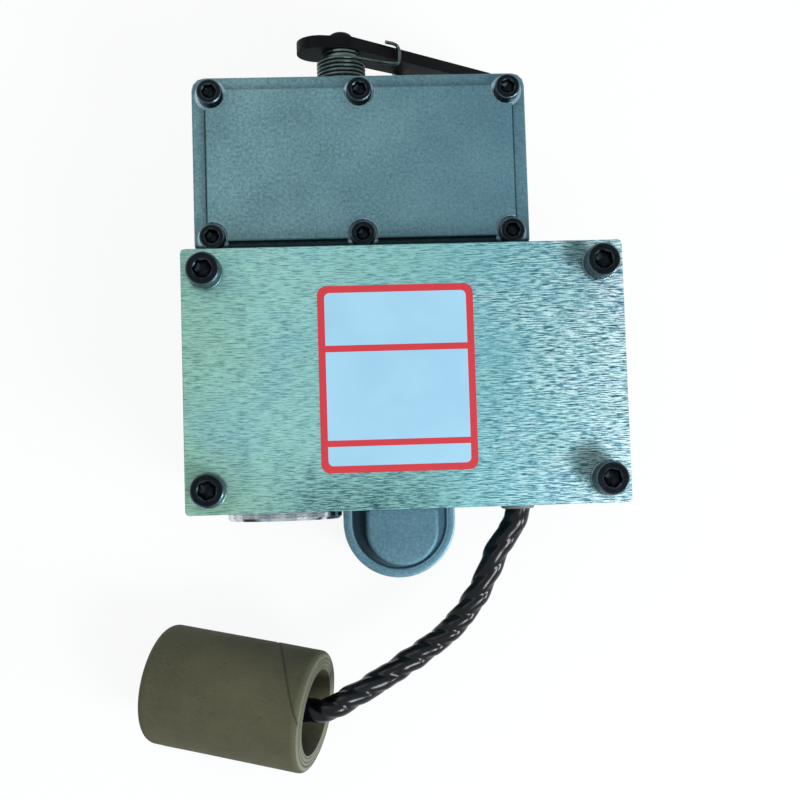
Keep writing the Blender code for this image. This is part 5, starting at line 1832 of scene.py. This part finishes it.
        dent = on_wall[:, None] * (self.seam_depth * bell - self.ledge_rise * ledge)
        sag = 1 + 0.0016 * np.cos(2 * angles + 0.6)[None]
        bent = (radius[:, None] - dent) * sag
        level = np.broadcast_to(height[:, None], bent.shape)
        rows = np.dstack([bent[..., None] * rays(angles), level]) * MM
        on_end = np.minimum(height, length - height) < 0.6
        sawn = (on_end & (radius > bore) & (radius < outer - 1.2)).astype(float)
        depth = (outer - radius) / (outer - bore)
        parting = np.abs(depth[:, None] - np.array([self.ply_gaps])).min(axis=1)
        # Painted light on the sawn ends, strongest towards lit_turn.
        lit = 0.3 + 0.7 * (0.5 + 0.5 * np.cos(angles - self.lit_turn))
        notes = {
            "sawn_and_lit": sawn[:, None] * lit[None],
            "ply": np.broadcast_to((parting > 0.03).astype(float)[:, None], rows.shape[:2]),
            "seam": on_wall[:, None] * bell,
        }
        skin = rounded_grid(rows, True, notes).moved(self.tube_frame())
        return self.shop.piece(
            "guard_tube", skin, BOARD, Body.FIXED, ["paper_guard_tube"], "kraft_paper", 50
        )

    def make_connector(self) -> list[bpy.types.Object]:
        """Makes the connector's shell, its ribbed ring and its pins.

        Each is turned from a profile. Ribs are a cosine of the angle on the
        ring's radius, and the pins stand evenly on a circle.

        Returns:
            The shell, the ring and the pins.
        """
        place = self.tube_frame() @ Matrix.Translation(metres(*self.connector_shift))
        profile = [
            (0.0, 56.5), (5.7, 56.5), (6.3, 56.3), (6.8, 55.4), (7.0, 53.6), (7.4, 53.2),
            (7.5, 51.0), (7.1, 50.7), (7.1, 49.9), (7.5, 49.6), (7.5, 47.6), (7.1, 47.3),
            (7.1, 46.5), (7.5, 46.2), (7.5, 41.0), (8.6, 38.5), (12.6, 33.6), (13.0, 33.0),
            (13.0, 10.4), (12.7, 10.0), (11.3, 10.0), (11.0, 10.3), (11.0, 19.0), (10.6, 19.1),
            (4.0, 19.1), (0.0, 19.1),
        ]
        shell = self.shop.piece(
            "connector_shell", turned(profile, self.shell_columns).moved(place), SHELL_BLACK,
            Body.FIXED, ["connector_body"], "connector_black", 40,
        )
        profile = [
            (13.3, 31.0), (15.2, 31.0), (15.7, 30.5), (15.7, 29.6), (16.0, 29.2),
            (16.0, 15.0), (15.7, 14.6), (15.7, 13.6), (15.2, 13.0), (13.3, 13.0),
        ]
        ribs = (1 - np.cos(self.ribs * wheel(self.ring_columns))) / 2
        swell = np.ones((len(profile), self.ring_columns))
        swell[4:6] = 1 - self.rib_depth * ribs
        skin = turned(profile, self.ring_columns, swell, ring=True).moved(place)
        ring = self.shop.piece(
            "ribbed_coupling_ring", skin, SHELL_BLACK, Body.FIXED,
            ["coupling_ring"], "connector_black", 40,
        )
        profile = [(0.0, 19.6), (1.2, 19.6), (1.2, 13.2), (1.0, 12.5), (0.6, 12.1), (0.0, 12.0)]
        around = self.pin_turn + wheel(self.pins)
        spots = [metres(*spot, 0.0) for spot in self.pin_circle * rays(around)]
        pin = turned(profile, self.pin_columns)
        skin = joined([pin.moved(place @ stand(spot)) for spot in spots])
        return [shell, ring, self.shop.piece("contact_pins", skin, BRASS, Body.FIXED)]


# ---------------------------------------------------------------- inner works


@dataclass
class InnerWorks:
    """CAD nodes that keep their shape and get a proper finish."""

    shop: Workshop
    made_of: tuple[tuple[Finish, str], ...] = (
        (PLAIN_STEEL, "output_arm arm_pin rack_link lever_stop_pin lower_bearing upper_bearing"),
        (PLAIN_STEEL, "core_bolt_1 core_bolt_2 armature_stop_screw stop_screw_nut"),
        (PLAIN_STEEL, "stop_shaft stop_finger"),
        (BRIGHT_TURNED, "armature_shaft"),
        (IRON, "armature stator_core"),
        (WINDING, "coil_winding_lower coil_winding_upper"),
        (NYLON, "coil_former_lower coil_former_upper"),
        (GASKET, "plate_gasket cover_gasket end_cap_gasket"),
        (DRAWN_WIRE, "return_spring lever_washer"),
        (BLACK_OXIDE, "shaft_circlip"),
    )

    def build(self) -> None:
        """Dresses the nodes by what they are made of."""
        for finish, nodes in self.made_of:
            self.shop.redress(nodes.split(), finish)


# --------------------------------------------------------------------- studio


@dataclass
class Studio:
    """Floor, lamps, world and the camera of the reference view.

    The camera's place is in millimetres and its turn in degrees. The floor's
    and the lamps' sizes are in metres, and the lamps' powers in watts.
    """

    camera_mm: Point = (-23.4, -38.3, 575.0)
    camera_turn: Point = (3.61, -2.40, -1.77)
    lens: float = 55.68
    film_width: float = 36.0
    near_limit: float = 0.01
    floor_half: float = 3.0
    floor_drop: float = 0.4 * MM
    lamp_aim: Point = (-0.02, 0.0, 0.06)
    key_power: float = 9.0
    fill_power: float = 2.0
    side_power: float = 4.0
    world_strength: float = 0.62

    def build(self) -> None:
        """Sets up the whole studio."""
        self.make_camera()
        self.make_floor()
        self.make_world()
        self.make_lamp("key_lamp", (0.62, -0.58, 0.95), 0.4, self.key_power, (0.95, 0.98, 1.0))
        self.make_lamp("fill_lamp", (-0.6, 0.6, 1.1), 0.9, self.fill_power, (1.0, 0.985, 0.95))
        self.make_lamp("side_lamp", (0.95, -0.45, 0.4), 0.2, self.side_power, (0.72, 0.9, 1.0))
        bpy.context.scene.view_settings.view_transform = "Standard"

    def make_camera(self) -> None:
        """Puts the camera where the photograph's perspective says it was."""
        data = bpy.data.cameras.new("front_camera")
        data.lens = self.lens
        data.sensor_width = self.film_width
        data.clip_start = self.near_limit
        camera = show("front_camera", data)
        camera.location = metres(*self.camera_mm)
        camera.rotation_euler = Euler([math.radians(a) for a in self.camera_turn], "XYZ")
        bpy.context.scene.camera = camera

    def make_floor(self) -> None:
        """Makes a pale floor that looks nearly white and still takes a shadow."""
        half = self.floor_half
        mesh = bpy.data.meshes.new("floor")
        signs = ((-1, -1), (1, -1), (1, 1), (-1, 1))
        corners = [(half * x, half * y, -self.floor_drop) for x, y in signs]
        mesh.from_pydata(corners, [], [(0, 1, 2, 3)])
        floor = show("floor", mesh)
        graph = Graph("pale_floor")
        graph.dress(base_color=(0.84, 0.86, 0.88), roughness=0.9)
        glow = graph.node("ShaderNodeEmission", None, {"Color": (1, 1, 1, 1), "Strength": 1.0})
        light = graph.node("ShaderNodeLightPath")
        kinds = ("Is Camera Ray", "Is Glossy Ray", "Is Transmission Ray")
        seen, mirrored, through = (Value(graph, light.outputs[kind]) for kind in kinds)
        mask = (seen + mirrored + through).least(1.0) * 0.9
        blend = graph.node("ShaderNodeMixShader", None, {0: mask})
        graph.tree.links.new(graph.shader.outputs[0], blend.inputs[1])
        graph.tree.links.new(glow.outputs[0], blend.inputs[2])
        output = next(n for n in graph.tree.nodes if n.type == "OUTPUT_MATERIAL")
        graph.tree.links.new(blend.outputs[0], output.inputs["Surface"])
        mesh.materials.append(graph.material)

    def make_world(self) -> None:
        """Lights the room evenly and shows white behind the object."""
        world = bpy.data.worlds.new("studio_room")
        bpy.context.scene.world = world
        world.use_nodes = True
        tree = world.node_tree
        tree.nodes.clear()
        light = tree.nodes.new("ShaderNodeLightPath")
        level = tree.nodes.new("ShaderNodeMix")
        level.inputs[2].default_value = self.world_strength
        level.inputs[3].default_value = 1.0
        tree.links.new(light.outputs["Is Camera Ray"], level.inputs[0])
        sky = tree.nodes.new("ShaderNodeBackground")
        sky.inputs["Color"].default_value = (0.93, 0.975, 1.0, 1.0)
        tree.links.new(level.outputs[0], sky.inputs["Strength"])
        output = tree.nodes.new("ShaderNodeOutputWorld")
        tree.links.new(sky.outputs[0], output.inputs["Surface"])

    def make_lamp(
        self, name: str, place: Point, size: float, power: float, colour: Colour
    ) -> None:
        """Adds a soft lamp that faces the object.

        Args:
            name: name of the lamp.
            place: where it hangs.
            size: side of its square face.
            power: its power in watts.
            colour: its tint.
        """
        data = bpy.data.lights.new(name, "AREA")
        data.energy = power
        data.size = size
        data.color = colour
        lamp = show(name, data)
        lamp.location = place
        aim = Vector(self.lamp_aim) - Vector(place)
        lamp.rotation_euler = aim.to_track_quat("-Z", "Y").to_euler()


def main() -> None:
    """Builds the studio and each sub-assembly."""
    logging.basicConfig(level=logging.INFO, format="%(name)s %(message)s")
    shop = Workshop()
    Studio().build()
    CableLead(shop).build()
    FrontPlate(shop).build()
    Castings(shop).build()
    Fasteners(shop).build()
    StopGear(shop).build()
    ShaftCarrier(shop).build()
    InnerWorks(shop).build()


if __name__ == "__main__":
    main()
